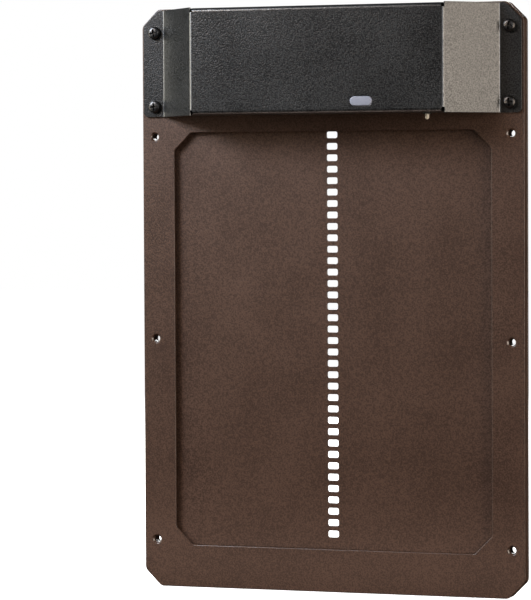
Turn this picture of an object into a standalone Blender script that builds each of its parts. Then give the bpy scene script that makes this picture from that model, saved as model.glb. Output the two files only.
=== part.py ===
"""Automatic coop door: two flat metal sheets with guide strips between them, a door panel
that slides up in the gap, and a folded metal hood over the motor, batteries and electronics.
The motor's pinion runs in the row of slots punched up the middle of the panel.

Lengths are in metres. X points right, Y points back to the wall and Z points up. Heights are
measured from the frame's bottom edge. The empty that carries every piece puts the world's
origin on the wall plane, at the middle of the frame's bottom rail.
"""

import math

import bmesh
import bpy

MM = 0.001

# Sides of round holes and turned pieces, and the angle above which an edge stays sharp
HOLE_SIDES = 16
SMALL_HOLE_SIDES = 12
SMALL_SCREW_SIDES = 10
SHARP_ANGLE = math.radians(40)

# Frame sheets
FRAME_WIDTH = 263 * MM
FRAME_HEIGHT = 385 * MM
FRAME_DEPTH = 9.4 * MM
FRAME_CHAMFER = 11.2 * MM
FRAME_CORNER_RADIUS = 5 * MM
SHEET = 2 * MM
OPENING_WIDTH = 219 * MM
OPENING_HEIGHT = 275 * MM
OPENING_CHAMFER = 12 * MM
OPENING_CORNER_RADIUS = 3 * MM
BOTTOM_RAIL = 28 * MM
MOUNT_HOLE_X = 122.9 * MM
MOUNT_HOLE_LOW = 31.4 * MM
MOUNT_HOLE_STEP = 134.4 * MM
MOUNT_HOLE_RADIUS = 2.3 * MM

# Gap that pieces which touch keep between their faces
GAP = 0.3 * MM

# Guide strips and sill between the sheets
STRIP_INSET = 0.6 * MM
STRIP_LIP = 7 * MM
SILL_TOP = 19.5 * MM

# Door panel and its rack of slots
PANEL_WIDTH = 235 * MM
PANEL_TOP = 379 * MM
PANEL_THICKNESS = 1.5 * MM
PANEL_RECESS = 4 * MM
PANEL_CORNER_RADIUS = 3 * MM
PANEL_PLAY = 0.4 * MM
RACK_PITCH = 7.5 * MM
SLOT_COUNT = 45
SLOT_LOWEST = 38 * MM
SLOT_WIDTH = 7.45 * MM
SLOT_HEIGHT = 4.3 * MM
SLOT_CORNER_RADIUS = 1.2 * MM

# Hood
HOOD_SHEET = 1.2 * MM
HOOD_DEPTH = 30 * MM
HOOD_HEIGHT = 70.7 * MM
HOOD_TOP = 384.2 * MM
HOOD_SIDE_INSET = 1.3 * MM
HOOD_FRONT_WIDTH = 172.2 * MM
HOOD_FOOT_WIDTH = 231.4 * MM
HOOD_BEND_RADIUS = 2.6 * MM
HOOD_RELIEF = 0.2 * MM
HOOD_CHAMFER = FRAME_CHAMFER - 0.8 * MM
BEND_STEPS = 4
HOOD_LOWER_CORNER_RADIUS = 3 * MM
HOOD_SCREW_X = 122.2 * MM
HOOD_SCREW_HEIGHTS = (320.3 * MM, 369.3 * MM)

# Button, switch and light sensor
BUTTON_X = 31.2 * MM
BUTTON_HEIGHT = 321.5 * MM
BUTTON_HOLE_WIDTH = 15.6 * MM
BUTTON_HOLE_HEIGHT = 6.5 * MM
BUTTON_PROUD = 0.5 * MM
BUTTON_TRAVEL = 0.8 * MM
SENSOR_X = 73 * MM
SENSOR_RADIUS = 1.35 * MM
SENSOR_TIP = 309.3 * MM

# Circuit board
BOARD_LEFT = 20 * MM
BOARD_RIGHT = 82 * MM
BOARD_BOTTOM = 316.8 * MM
BOARD_TOP = 345 * MM
BOARD_BACK = -30 * MM
BOARD_THICKNESS = 1.6 * MM

# Drive
PINION_TEETH = 10
PINION_SLOT = 41
PINION_REACH = 0.3 * MM
PINION_WIDTH = 6.4 * MM
PINION_ROOT_DEPTH = 3.4 * MM
PINION_FLANK_START = 0.8 * MM
PINION_TIP_ROUND = 0.4 * MM
PINION_TOOTH_HALVES = (2.1 * MM, 1.8 * MM, 1.4 * MM, 0.8 * MM)
GEAR_MODULE = 0.75 * MM
GEAR_ADDENDUM = 0.7 * GEAR_MODULE
GEAR_DEDENDUM = 1.1 * GEAR_MODULE
GEAR_BACKLASH = 0.16 * MM
PRESSURE_ANGLE = math.radians(20)
DRIVE_GEAR_TEETH = 24
MOTOR_GEAR_TEETH = 12
DRIVE_SHAFT_RADIUS = 2 * MM
MOTOR_SHAFT_RADIUS = 1.5 * MM

# Batteries, by the standard AA size
CELL_RADIUS = 7.15 * MM
CELL_LENGTH = 50.2 * MM
CELL_SPACING = 15.6 * MM
NUB_RADIUS = 2.7 * MM
NUB_LENGTH = 1.1 * MM

# Values worked out from the ones above
FRONT_FACE = -FRAME_DEPTH
FRONT_SHEET_BACK = FRONT_FACE + SHEET
STRIP_FRONT = FRONT_SHEET_BACK + GAP
STRIP_BACK = -SHEET - GAP
PANEL_FRONT = FRONT_FACE + PANEL_RECESS
PANEL_BACK = PANEL_FRONT + PANEL_THICKNESS
PANEL_BOTTOM = SILL_TOP + GAP
OPENING_TOP = BOTTOM_RAIL + OPENING_HEIGHT
HOOD_FRONT = FRONT_FACE - HOOD_DEPTH
HOOD_INSIDE = HOOD_FRONT + HOOD_SHEET
HOOD_FLANGE_FRONT = FRONT_FACE - GAP - HOOD_SHEET
HOOD_BOTTOM = HOOD_TOP - HOOD_HEIGHT
HOOD_MIDDLE = HOOD_TOP - HOOD_HEIGHT / 2
BOARD_FRONT = BOARD_BACK - BOARD_THICKNESS
PINION_RADIUS = PINION_TEETH * RACK_PITCH / math.tau
PINION_Y = (PANEL_FRONT + PANEL_BACK) / 2 - PINION_RADIUS
PINION_Z = SLOT_LOWEST + PINION_SLOT * RACK_PITCH
GEAR_CENTRES = GEAR_MODULE * (DRIVE_GEAR_TEETH + MOTOR_GEAR_TEETH) / 2
# The motor's axis lies up and forward of the drive shaft, by the sides of a 3-4-5 triangle
MOTOR_Y = PINION_Y - GEAR_CENTRES * 3 / 5
MOTOR_Z = PINION_Z + GEAR_CENTRES * 4 / 5
PART_FRAME = bpy.data.objects.new("part_frame", None)


def remove_startup_objects():
    for obj in list(bpy.data.objects):
        if obj is not PART_FRAME:
            bpy.data.objects.remove(obj, do_unlink=True)


def finish(name, colour, roughness, metallic=0.0, alpha=1.0):
    """A plain material from a linear colour."""
    made = bpy.data.materials.new(name)
    made.use_nodes = True
    shader = made.node_tree.nodes["Principled BSDF"]
    shader.inputs["Base Color"].default_value = (*colour, 1.0)
    shader.inputs["Roughness"].default_value = roughness
    shader.inputs["Metallic"].default_value = metallic
    shader.inputs["Alpha"].default_value = alpha
    return made


def add_object(name, bm, material, at=(0, 0, 0), smooth=False):
    """Turns a bmesh into a named object carried by the part's frame, placed at a point."""
    bmesh.ops.remove_doubles(bm, verts=bm.verts[:], dist=1e-7)
    bmesh.ops.recalc_face_normals(bm, faces=bm.faces[:])
    mesh = bpy.data.meshes.new(name)
    bm.to_mesh(mesh)
    bm.free()
    mesh.materials.append(material)
    if smooth:
        mesh.shade_smooth()
        mesh.set_sharp_from_angle(angle=SHARP_ANGLE)
    return add_mesh(name, mesh, at)


def add_mesh(name, mesh, at):
    obj = bpy.data.objects.new(name, mesh)
    bpy.context.scene.collection.objects.link(obj)
    obj.parent = PART_FRAME
    obj.location = at
    return obj


def cut(obj, bm, operation="DIFFERENCE"):
    """Cuts a hidden helper shape out of an object, or joins it to the object."""
    helper = add_object(f"{obj.name}_{operation.lower()}", bm, obj.data.materials[0], obj.location)
    helper.hide_render = True
    helper.display_type = "WIRE"
    modifier = obj.modifiers.new(operation.title(), "BOOLEAN")
    modifier.operation = operation
    modifier.solver = "EXACT"
    modifier.object = helper


def across_y(a, b, depth):
    """Puts an outline in x and z, with its depth along y."""
    return a, depth, b


def along_z(a, b, depth):
    """Puts an outline in x and y, with its depth along z."""
    return a, b, depth


def along_x(a, b, depth):
    """Puts an outline in y and z, with its depth along x."""
    return depth, a, b


def fillet(corners, radius, steps):
    """An outline through these corners, each rounded by an arc of the radius."""
    points = []
    for index, (x, y) in enumerate(corners):
        before = corners[index - 1]
        after = corners[(index + 1) % len(corners)]
        points += bend(before, (x, y), after, radius, steps)
    return points


def bend(before, corner, after, radius, steps):
    """The points of the arc that rounds one corner of a path."""
    towards = [math.atan2(p[1] - corner[1], p[0] - corner[0]) for p in (before, after)]
    turn = (towards[1] - towards[0] + math.pi) % math.tau - math.pi
    half = abs(turn) / 2
    middle = towards[0] + turn / 2
    reach = radius / math.sin(half)
    centre = [corner[0] + reach * math.cos(middle), corner[1] + reach * math.sin(middle)]
    sweep = (math.pi - abs(turn)) * -math.copysign(1, turn)
    start = middle + math.pi - sweep / 2
    angles = [start + sweep * step / steps for step in range(steps + 1)]
    return [(centre[0] + radius * math.cos(a), centre[1] + radius * math.sin(a)) for a in angles]


def rectangle(left, right, bottom, top):
    return [(left, bottom), (right, bottom), (right, top), (left, top)]


def chamfered(left, right, bottom, top, chamfer):
    """The eight corners of a rectangle whose corners are cut off at 45 degrees."""
    return [
        (left + chamfer, bottom),
        (right - chamfer, bottom),
        (right, bottom + chamfer),
        (right, top - chamfer),
        (right - chamfer, top),
        (left + chamfer, top),
        (left, top - chamfer),
        (left, bottom + chamfer),
    ]


def circle(x, y, radius, sides=HOLE_SIDES):
    angles = [math.tau * side / sides for side in range(sides)]
    return [(x + radius * math.cos(a), y + radius * math.sin(a)) for a in angles]


def obround(x, y, width, height):
    """A slot outline with round ends, whose arcs stop a hair short of meeting."""
    corners = rectangle(x - width / 2, x + width / 2, y - height / 2, y + height / 2)
    return fillet(corners, height * 0.4999, HOLE_SIDES // 4)


def filled(loops, place, depth):
    """A flat face inside the first loop, with the other loops left open as holes."""
    bm = bmesh.new()
    edges = []
    for loop in loops:
        verts = [bm.verts.new(place(a, b, depth)) for a, b in loop]
        edges += [bm.edges.new(pair) for pair in zip(verts, verts[1:] + verts[:1])]
    bmesh.ops.triangle_fill(bm, use_beauty=True, use_dissolve=False, edges=edges)
    return bm


def prism(loops, place, start, end):
    """A solid made by drawing flat loops out from one depth to another."""
    bm = filled(loops, place, start)
    made = bmesh.ops.extrude_face_region(bm, geom=bm.faces[:])
    moved = [item for item in made["geom"] if isinstance(item, bmesh.types.BMVert)]
    step = [b - a for a, b in zip(place(0, 0, start), place(0, 0, end))]
    bmesh.ops.translate(bm, verts=moved, vec=step)
    return bm


def block(low, high):
    """A solid box between two corners."""
    return prism([rectangle(low[0], high[0], low[2], high[2])], across_y, low[1], high[1])


def turned(profile, place, sides=HOLE_SIDES, closed=False):
    """A solid of revolution from a profile of (radius, depth) points."""
    bm = bmesh.new()
    verts = [bm.verts.new(place(radius, 0, depth)) for radius, depth in profile]
    pairs = list(zip(verts, verts[1:]))
    if closed:
        pairs.append((verts[-1], verts[0]))
    edges = [bm.edges.new(pair) for pair in pairs]
    axis = place(0, 0, 1)
    bmesh.ops.spin(
        bm, geom=verts + edges, cent=(0, 0, 0), axis=axis, angle=math.tau, steps=sides, use_merge=True
    )
    bmesh.ops.remove_doubles(bm, verts=bm.verts[:], dist=1e-7)
    return bm


def joined(shapes):
    """Several separate shapes in one bmesh, used as one cutter."""
    bm = bmesh.new()
    for shape in shapes:
        mesh = bpy.data.meshes.new("shape")
        bmesh.ops.recalc_face_normals(shape, faces=shape.faces[:])
        shape.to_mesh(mesh)
        shape.free()
        bm.from_mesh(mesh)
        bpy.data.meshes.remove(mesh)
    return bm


def drills(places, radius, start, end):
    """Round cutters of one radius through several places."""
    outlines = [circle(x, z, radius, SMALL_HOLE_SIDES) for x, z in places]
    return joined([prism([outline], across_y, start, end) for outline in outlines])


def mount_holes():
    heights = [MOUNT_HOLE_LOW + step * MOUNT_HOLE_STEP for step in range(3)]
    return [(side * MOUNT_HOLE_X, height) for side in (-1, 1) for height in heights]


def hood_screw_places():
    return [(side * HOOD_SCREW_X, height) for side in (-1, 1) for height in HOOD_SCREW_HEIGHTS]


def frame_loops():
    """The outline, the opening and the mounting holes that both frame sheets share."""
    half = FRAME_WIDTH / 2
    outline = fillet(chamfered(-half, half, 0, FRAME_HEIGHT, FRAME_CHAMFER), FRAME_CORNER_RADIUS, 4)
    half = OPENING_WIDTH / 2
    opening = chamfered(-half, half, BOTTOM_RAIL, OPENING_TOP, OPENING_CHAMFER)
    holes = [circle(x, z, MOUNT_HOLE_RADIUS) for x, z in mount_holes()]
    return [outline, fillet(opening, OPENING_CORNER_RADIUS, 3)] + holes


# Window in the front sheet and in the bracket, through which the pinion reaches the panel
WINDOW_LEFT = -8 * MM
WINDOW_RIGHT = 15.3 * MM
WINDOW_HALF_HEIGHT = 14 * MM
WINDOW_CORNER_RADIUS = 2 * MM

# Small screws that hold the bracket and the battery tray to the front sheet
BRACKET_SCREW_X = (-17.5 * MM, 23.5 * MM)
BRACKET_SCREW_HEIGHTS = (PINION_Z - 14.5 * MM, PINION_Z + 14.5 * MM)
BRACKET_SCREW_RADIUS = 1.5 * MM
BRACKET_SCREW_HEAD = (2.8 * MM, 2 * MM)
BRACKET_SCREW_LENGTH = 4 * MM
BRACKET_SCREW_PLACES = [(x, height) for x in BRACKET_SCREW_X for height in BRACKET_SCREW_HEIGHTS]
HOLDER_SCREW_X = (-70 * MM, -41 * MM)
HOLDER_SCREW_HEAD = (2.6 * MM, 0.9 * MM)
HOLDER_CENTRE = 334.2 * MM
HOLDER_SCREW_PLACES = [(x, HOLDER_CENTRE) for x in HOLDER_SCREW_X]
TAPPED_CLEARANCE = 0.25 * MM


def drive_window():
    low = PINION_Z - WINDOW_HALF_HEIGHT
    high = PINION_Z + WINDOW_HALF_HEIGHT
    return fillet(rectangle(WINDOW_LEFT, WINDOW_RIGHT, low, high), WINDOW_CORNER_RADIUS, 3)


def build_front_sheet(material):
    loops = frame_loops() + [drive_window()]
    loops += [circle(x, z, M4_RADIUS + TAPPED_CLEARANCE) for x, z in hood_screw_places()]
    small = BRACKET_SCREW_PLACES + HOLDER_SCREW_PLACES
    hole = BRACKET_SCREW_RADIUS + TAPPED_CLEARANCE
    loops += [circle(x, z, hole, SMALL_HOLE_SIDES) for x, z in small]
    add_object("front_frame_plate", prism(loops, across_y, FRONT_FACE, FRONT_SHEET_BACK), material)


# Countersunk screws that hold the rear sheet to the strips and the sill
REAR_SCREW_X = 124.5 * MM
REAR_SCREW_HEIGHTS = (70 * MM, 235 * MM, 345 * MM)
REAR_SCREW_RADIUS = 1.5 * MM
REAR_SCREW_HEAD_RADIUS = 2.65 * MM
REAR_SCREW_LENGTH = 6 * MM
REAR_SCREW_SUNK = 0.1 * MM
REAR_SHANK_CLEARANCE = 0.4 * MM
SINK_CLEARANCE = 0.45 * MM
SILL_SCREW_PLACES = [(side * 70 * MM, SILL_TOP / 2) for side in (-1, 1)]


def rear_screw_places():
    strip = [(side * REAR_SCREW_X, height) for side in (-1, 1) for height in REAR_SCREW_HEIGHTS]
    return strip + SILL_SCREW_PLACES


def build_rear_sheet(material):
    sheet = add_object("rear_frame_plate", prism(frame_loops(), across_y, -SHEET, 0), material)
    shank = REAR_SCREW_RADIUS + REAR_SHANK_CLEARANCE
    mouth = REAR_SCREW_HEAD_RADIUS + SINK_CLEARANCE
    end = -SHEET - GAP
    profile = [(0, GAP), (mouth + GAP, GAP), (shank, shank - mouth), (shank, end), (0, end)]
    sinks = []
    for x, z in rear_screw_places():
        sink = turned(profile, across_y, SMALL_HOLE_SIDES)
        bmesh.ops.translate(sink, verts=sink.verts[:], vec=(x, 0, z))
        sinks.append(sink)
    cut(sheet, joined(sinks))


def build_rear_screws(material):
    head, shank = REAR_SCREW_HEAD_RADIUS, REAR_SCREW_RADIUS
    face = -REAR_SCREW_SUNK
    end = -REAR_SCREW_LENGTH
    profile = [(0, face), (head, face), (shank, face - head + shank), (shank, end), (0, end)]
    for number, (x, z) in enumerate(rear_screw_places(), 1):
        screw = turned(profile, across_y, SMALL_HOLE_SIDES)
        add_object(f"rear_screw_{number}", screw, material, (x, 0, z), True)


def build_guide_strips(material):
    """L-shaped strips: the thick part spaces the sheets, the lip keeps the panel from tipping forward."""
    outer = FRAME_WIDTH / 2 - STRIP_INSET
    inner = PANEL_WIDTH / 2 + PANEL_PLAY
    lip_back = PANEL_FRONT - PANEL_PLAY
    section = [
        (inner - STRIP_LIP, STRIP_FRONT),
        (outer, STRIP_FRONT),
        (outer, STRIP_BACK),
        (inner, STRIP_BACK),
        (inner, lip_back),
        (inner - STRIP_LIP, lip_back),
    ]
    for name, side in (("left_guide_strip", -1), ("right_guide_strip", 1)):
        loop = [(side * x, y) for x, y in section]
        bar = prism([loop], along_z, FRAME_CHAMFER, FRAME_HEIGHT - FRAME_CHAMFER)
        strip = add_object(name, bar, material)
        ends = (STRIP_FRONT - GAP, STRIP_BACK + GAP)
        cutters = []
        for radius, places in (
            (MOUNT_HOLE_RADIUS, mount_holes()),
            (M4_RADIUS + TAPPED_CLEARANCE, hood_screw_places()),
            (REAR_SCREW_RADIUS + TAPPED_CLEARANCE, rear_screw_places()),
        ):
            cutters.append(drills([p for p in places if p[0] * side > inner], radius, *ends))
        cut(strip, joined(cutters))


def build_sill(material):
    half = PANEL_WIDTH / 2 + PANEL_PLAY - STRIP_LIP - GAP
    loops = [rectangle(-half, half, STRIP_INSET, SILL_TOP)]
    hole = REAR_SCREW_RADIUS + TAPPED_CLEARANCE
    loops += [circle(x, z, hole, SMALL_HOLE_SIDES) for x, z in SILL_SCREW_PLACES]
    add_object("sill_strip", prism(loops, across_y, STRIP_FRONT, STRIP_BACK), material)


def build_door_panel(material):
    half = PANEL_WIDTH / 2
    loops = [fillet(rectangle(-half, half, PANEL_BOTTOM, PANEL_TOP), PANEL_CORNER_RADIUS, 3)]
    for slot in range(SLOT_COUNT):
        low = SLOT_LOWEST + slot * RACK_PITCH - SLOT_HEIGHT / 2
        corners = rectangle(-SLOT_WIDTH / 2, SLOT_WIDTH / 2, low, low + SLOT_HEIGHT)
        loops.append(fillet(corners, SLOT_CORNER_RADIUS, 2))
    add_object("door_panel", prism(loops, across_y, PANEL_FRONT, PANEL_BACK), material)


# Hood screws: M4 with a cross recess
M4_RADIUS = 2 * MM
M4_HEAD_RADIUS = 4.4 * MM
M4_HEAD_HEIGHT = 2.9 * MM
M4_LENGTH = 8 * MM
RECESS_LENGTH = 4.8 * MM
RECESS_WIDTH = 1.2 * MM
RECESS_DEPTH = 1.6 * MM


def pan_screw(radius, head_radius, head_height, length, steps=2):
    """The profile of a domed head in front of y = 0 and a shank behind it."""
    dome = [math.pi / 2 * step / steps for step in range(steps + 1)]
    rim = 0.35 * head_height
    profile = [(head_radius * math.sin(a), -rim - (head_height - rim) * math.cos(a)) for a in dome]
    profile[0] = (0, -head_height)
    return profile + [(head_radius, 0), (radius, 0), (radius, length), (0, length)]


def build_hood_screws(material):
    profile = pan_screw(M4_RADIUS, M4_HEAD_RADIUS, M4_HEAD_HEIGHT, M4_LENGTH, 4)
    seat = HOOD_FLANGE_FRONT - GAP / 2
    for number, (x, z) in enumerate(hood_screw_places(), 1):
        shape = turned(profile, across_y)
        screw = add_object(f"hood_screw_{number}", shape, material, (x, seat, z), True)
        for length, width in ((RECESS_LENGTH, RECESS_WIDTH), (RECESS_WIDTH, RECESS_LENGTH)):
            low = (-length / 2, -2 * M4_HEAD_HEIGHT, -width / 2)
            cut(screw, block(low, (length / 2, RECESS_DEPTH - M4_HEAD_HEIGHT, width / 2)))


def measured_path(corners, radii, steps):
    """A folded path as (distance along it, point), each inner corner rounded by its own radius."""
    points = [corners[0]]
    for index, radius in enumerate(radii, 1):
        points += bend(corners[index - 1], corners[index], corners[index + 1], radius, steps)
    points.append(corners[-1])
    distances = [0.0]
    for a, b in zip(points, points[1:]):
        distances.append(distances[-1] + math.dist(a, b))
    return list(zip(distances, points))


def point_along(path, distance):
    """The point of a measured path at a distance along it."""
    for (start, a), (end, b) in zip(path, path[1:]):
        if distance <= end or end == path[-1][0]:
            share = (distance - start) / (end - start)
            return a[0] + (b[0] - a[0]) * share, a[1] + (b[1] - a[1]) * share


def distance_to(path, value):
    """The distance along a measured path at which its first coordinate reaches a value."""
    for (start, a), (end, b) in zip(path, path[1:]):
        if a[0] <= value <= b[0]:
            return start + (end - start) * (value - a[0]) / (b[0] - a[0])


def hood_paths():
    """The hood's front surface as two folded paths from its middle: one sideways, one up the wall."""
    section = [
        (0, HOOD_FRONT),
        (HOOD_FRONT_WIDTH / 2, HOOD_FRONT),
        (HOOD_FOOT_WIDTH / 2, HOOD_FLANGE_FRONT),
        (FRAME_WIDTH / 2 - HOOD_SIDE_INSET, HOOD_FLANGE_FRONT),
    ]
    wall = [(0, HOOD_FRONT), (HOOD_HEIGHT / 2, HOOD_FRONT), (HOOD_HEIGHT / 2, FRONT_FACE - 2 * GAP)]
    inner_radius = HOOD_BEND_RADIUS - HOOD_SHEET
    return (
        measured_path(section, (HOOD_BEND_RADIUS, inner_radius), BEND_STEPS),
        measured_path(wall, (HOOD_BEND_RADIUS,), BEND_STEPS),
    )


def hood_blank(sideways, upright):
    """The flat blank's right half, from its top edge down to its bottom edge."""
    half = HOOD_HEIGHT / 2
    after_bend = BEND_STEPS + 1
    bend_start, bend_end = sideways[1][0], sideways[after_bend][0]
    width = sideways[-1][0]
    wall_end = upright[-1][0]
    wall_start = upright[after_bend][0]
    notch_left = bend_start - HOOD_RELIEF
    notch_right = bend_end + HOOD_RELIEF
    notch_foot = upright[1][0] - HOOD_RELIEF
    slope = (HOOD_FOOT_WIDTH - HOOD_FRONT_WIDTH) / 2 / (HOOD_FLANGE_FRONT - HOOD_FRONT)
    wall_reach = notch_left + slope * (wall_end - wall_start)
    upper = [
        (wall_reach, wall_end),
        (notch_left, wall_start),
        (notch_left, notch_foot),
        (notch_right, notch_foot),
        (notch_right, half),
    ]
    before = (width - HOOD_CHAMFER, half)
    corner = (width, half - HOOD_CHAMFER)
    flange = bend(upper[-1], before, corner, FRAME_CORNER_RADIUS, 3)
    flange += bend(before, corner, (width, -half), FRAME_CORNER_RADIUS, 3)
    flange += bend(corner, (width, -half), (0, -half), HOOD_LOWER_CORNER_RADIUS, 3)
    lower = [(u, -v) for u, v in reversed(upper)]
    return upper + flange + lower


def build_hood(material):
    """The hood is cut as one flat blank, then folded along its bends and given its thickness."""
    sideways, upright = hood_paths()
    right = hood_blank(sideways, upright)
    outline = right + [(-u, v) for u, v in reversed(right)]
    holes = [obround(BUTTON_X, BUTTON_HEIGHT - HOOD_MIDDLE, BUTTON_HOLE_WIDTH, BUTTON_HOLE_HEIGHT)]
    screw_u = distance_to(sideways, HOOD_SCREW_X)
    for x, z in hood_screw_places():
        u = math.copysign(screw_u, x)
        holes.append(circle(u, z - HOOD_MIDDLE, M4_RADIUS + TAPPED_CLEARANCE))
    wall_flat = upright[BEND_STEPS + 1]
    sensor_v = wall_flat[0] + SENSOR_Y - wall_flat[1][1]
    holes.append(circle(SENSOR_X, -sensor_v, GROMMET_NECK + GAP, SMALL_HOLE_SIDES))
    bm = filled([outline] + holes, along_z, 0)
    for lines, normal in ((sideways, (1, 0, 0)), (upright, (0, 1, 0))):
        for distance, _ in lines[1:-1]:
            for side in (-1, 1):
                place = tuple(side * distance * n for n in normal)
                everything = bm.verts[:] + bm.edges[:] + bm.faces[:]
                bmesh.ops.bisect_plane(bm, geom=everything, dist=1e-8, plane_co=place, plane_no=normal)
    front_edge = sideways[1][0]
    for vert in bm.verts:
        u, v, _ = vert.co
        if abs(u) < front_edge or abs(v) > HOOD_HEIGHT / 2 + GAP:
            height, depth = point_along(upright, abs(v))
            vert.co = (u, depth, HOOD_MIDDLE + math.copysign(height, v))
        else:
            across, depth = point_along(sideways, abs(u))
            vert.co = (math.copysign(across, u), depth, HOOD_MIDDLE + v)
    hood = add_object("hood_cover", bm, material, smooth=True)
    middle_normal = min(hood.data.polygons, key=lambda face: face.center.y).normal
    if middle_normal.y > 0:
        hood.data.flip_normals()
    thickness = hood.modifiers.new("Sheet thickness", "SOLIDIFY")
    thickness.thickness = HOOD_SHEET
    thickness.offset = -1
    thickness.use_even_offset = True


# Button parts behind the hood's front
BUTTON_FLANGE = 1.4 * MM
BUTTON_FLANGE_THICKNESS = 0.8 * MM
BUTTON_STEM_RADIUS = 1.5 * MM
PLUNGER_RADIUS = 1.5 * MM
SWITCH_SIDE = 6 * MM
SWITCH_HEIGHT = 3.4 * MM


def build_button(cap_material, plunger_material, switch_material):
    """A loose cap held behind the hood by its flange, pressing the switch's plunger."""
    face = HOOD_FRONT - BUTTON_PROUD
    flange_front = HOOD_INSIDE + GAP
    flange_back = flange_front + BUTTON_FLANGE_THICKNESS
    switch_back = BOARD_FRONT - GAP
    switch_front = switch_back - SWITCH_HEIGHT
    stem_end = switch_front - BUTTON_TRAVEL - GAP
    at = (BUTTON_X, 0, BUTTON_HEIGHT)
    width = BUTTON_HOLE_WIDTH - 2 * GAP
    height = BUTTON_HOLE_HEIGHT - 2 * GAP
    body = prism([obround(0, 0, width, height)], across_y, face, flange_back)
    cap = add_object("button_cap", body, cap_material, at)
    flange = obround(0, 0, width + 2 * BUTTON_FLANGE, height + 2 * BUTTON_FLANGE)
    cut(cap, prism([flange], across_y, flange_front, flange_back + GAP), "UNION")
    stem = prism([circle(0, 0, BUTTON_STEM_RADIUS)], across_y, flange_front + GAP, stem_end)
    cut(cap, stem, "UNION")

    plunger_end = switch_back - BUTTON_TRAVEL - 3 * GAP
    plunger = prism([circle(0, 0, PLUNGER_RADIUS)], across_y, stem_end + GAP, plunger_end)
    add_object("switch_plunger", plunger, plunger_material, at, True)

    half = SWITCH_SIDE / 2
    case = block((-half, switch_front, -half), (half, switch_back, half))
    switch = add_object("push_switch", case, switch_material, at)
    bore = circle(0, 0, PLUNGER_RADIUS + GAP)
    cut(switch, prism([bore], across_y, switch_front - GAP, switch_back - GAP))


# Pieces on the board, each by its left, right, lower and upper edge and its height off the board
MODULE_PLACE = (46 * MM, 66 * MM, 322 * MM, 342 * MM)
MODULE_THICKNESS = 2.4 * MM
MODULE_EDGE = 0.5 * MM
CHIP_PLACE = (28 * MM, 38 * MM, 331 * MM, 341 * MM)
CHIP_THICKNESS = 1.2 * MM
LED_X = BUTTON_X + 6 * MM
LED_PLACE = (LED_X - 1 * MM, LED_X + 1 * MM, BUTTON_HEIGHT - 1.5 * MM, BUTTON_HEIGHT + 1.5 * MM)
LED_THICKNESS = 1.1 * MM
BOARD_CORNER_RADIUS = 1.5 * MM
POST_RADIUS = 2.5 * MM
POST_PLACES = [(42 * MM, 341 * MM), (77 * MM, 326.5 * MM)]
BOARD_SCREW_RADIUS = 1.2 * MM
BOARD_SCREW_HEAD = (2.2 * MM, 1.4 * MM)
BOARD_SCREW_LENGTH = 5 * MM
SENSOR_Y = BOARD_BACK - BOARD_THICKNESS / 2
GROMMET_NECK = 2.3 * MM
GROMMET_LIP = 3.2 * MM
GROMMET_LIP_THICKNESS = 0.5 * MM


def build_board(board_material, chip_material, led_material, metal_material, screw_material):
    edge = rectangle(BOARD_LEFT, BOARD_RIGHT, BOARD_BOTTOM, BOARD_TOP)
    bore = BOARD_SCREW_RADIUS + TAPPED_CLEARANCE
    loops = [fillet(edge, BOARD_CORNER_RADIUS, 2)]
    loops += [circle(x, z, bore, SMALL_HOLE_SIDES) for x, z in POST_PLACES]
    add_object("circuit_board", prism(loops, across_y, BOARD_BACK, BOARD_FRONT), board_material)

    front = BOARD_FRONT - GAP
    module = prism([rectangle(*MODULE_PLACE)], across_y, front - MODULE_THICKNESS, front)
    bmesh.ops.bevel(module, geom=module.edges[:], offset=MODULE_EDGE, segments=1, affect="EDGES")
    add_object("radio_module", module, metal_material)
    chip = prism([rectangle(*CHIP_PLACE)], across_y, front - CHIP_THICKNESS, front)
    add_object("control_chip", chip, chip_material)
    led = prism([rectangle(*LED_PLACE)], across_y, front - LED_THICKNESS, front)
    add_object("status_led", led, led_material)

    post_back = FRONT_FACE - GAP
    post_front = BOARD_BACK + GAP
    bore_end = post_front + BOARD_SCREW_LENGTH
    for number, (x, z) in enumerate(POST_PLACES, 1):
        profile = [
            (0, post_back),
            (POST_RADIUS, post_back),
            (POST_RADIUS, post_front),
            (bore, post_front),
            (bore, bore_end),
            (0, bore_end),
        ]
        post = turned(profile, across_y, SMALL_HOLE_SIDES)
        add_object(f"board_post_{number}", post, metal_material, (x, 0, z))
        profile = pan_screw(BOARD_SCREW_RADIUS, *BOARD_SCREW_HEAD, BOARD_SCREW_LENGTH)
        screw = turned(profile, across_y, SMALL_SCREW_SIDES)
        add_object(f"board_screw_{number}", screw, screw_material, (x, front, z), True)


def build_sensor(lens_material, rubber_material):
    """A clear photodiode under the board, looking down through a grommet in the bottom wall."""
    top = BOARD_BOTTOM - GAP
    dome = [math.pi / 2 * step / 4 for step in range(1, 5)]
    radius = SENSOR_RADIUS
    profile = [(0, SENSOR_TIP)]
    profile += [(radius * math.sin(a), SENSOR_TIP + radius * (1 - math.cos(a))) for a in dome]
    profile += [(radius, top), (0, top)]
    at = (SENSOR_X, SENSOR_Y, 0)
    add_object("light_sensor", turned(profile, along_z), lens_material, at, True)

    below = HOOD_BOTTOM - GAP / 2
    above = HOOD_BOTTOM + HOOD_SHEET + GAP / 2
    bore = radius + GAP
    ring = [
        (bore, below - GROMMET_LIP_THICKNESS),
        (GROMMET_LIP, below - GROMMET_LIP_THICKNESS),
        (GROMMET_LIP, below),
        (GROMMET_NECK, below),
        (GROMMET_NECK, above),
        (GROMMET_LIP, above),
        (GROMMET_LIP, above + GROMMET_LIP_THICKNESS),
        (bore, above + GROMMET_LIP_THICKNESS),
    ]
    grommet = turned(ring, along_z, SMALL_HOLE_SIDES, closed=True)
    add_object("sensor_grommet", grommet, rubber_material, at)


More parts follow.
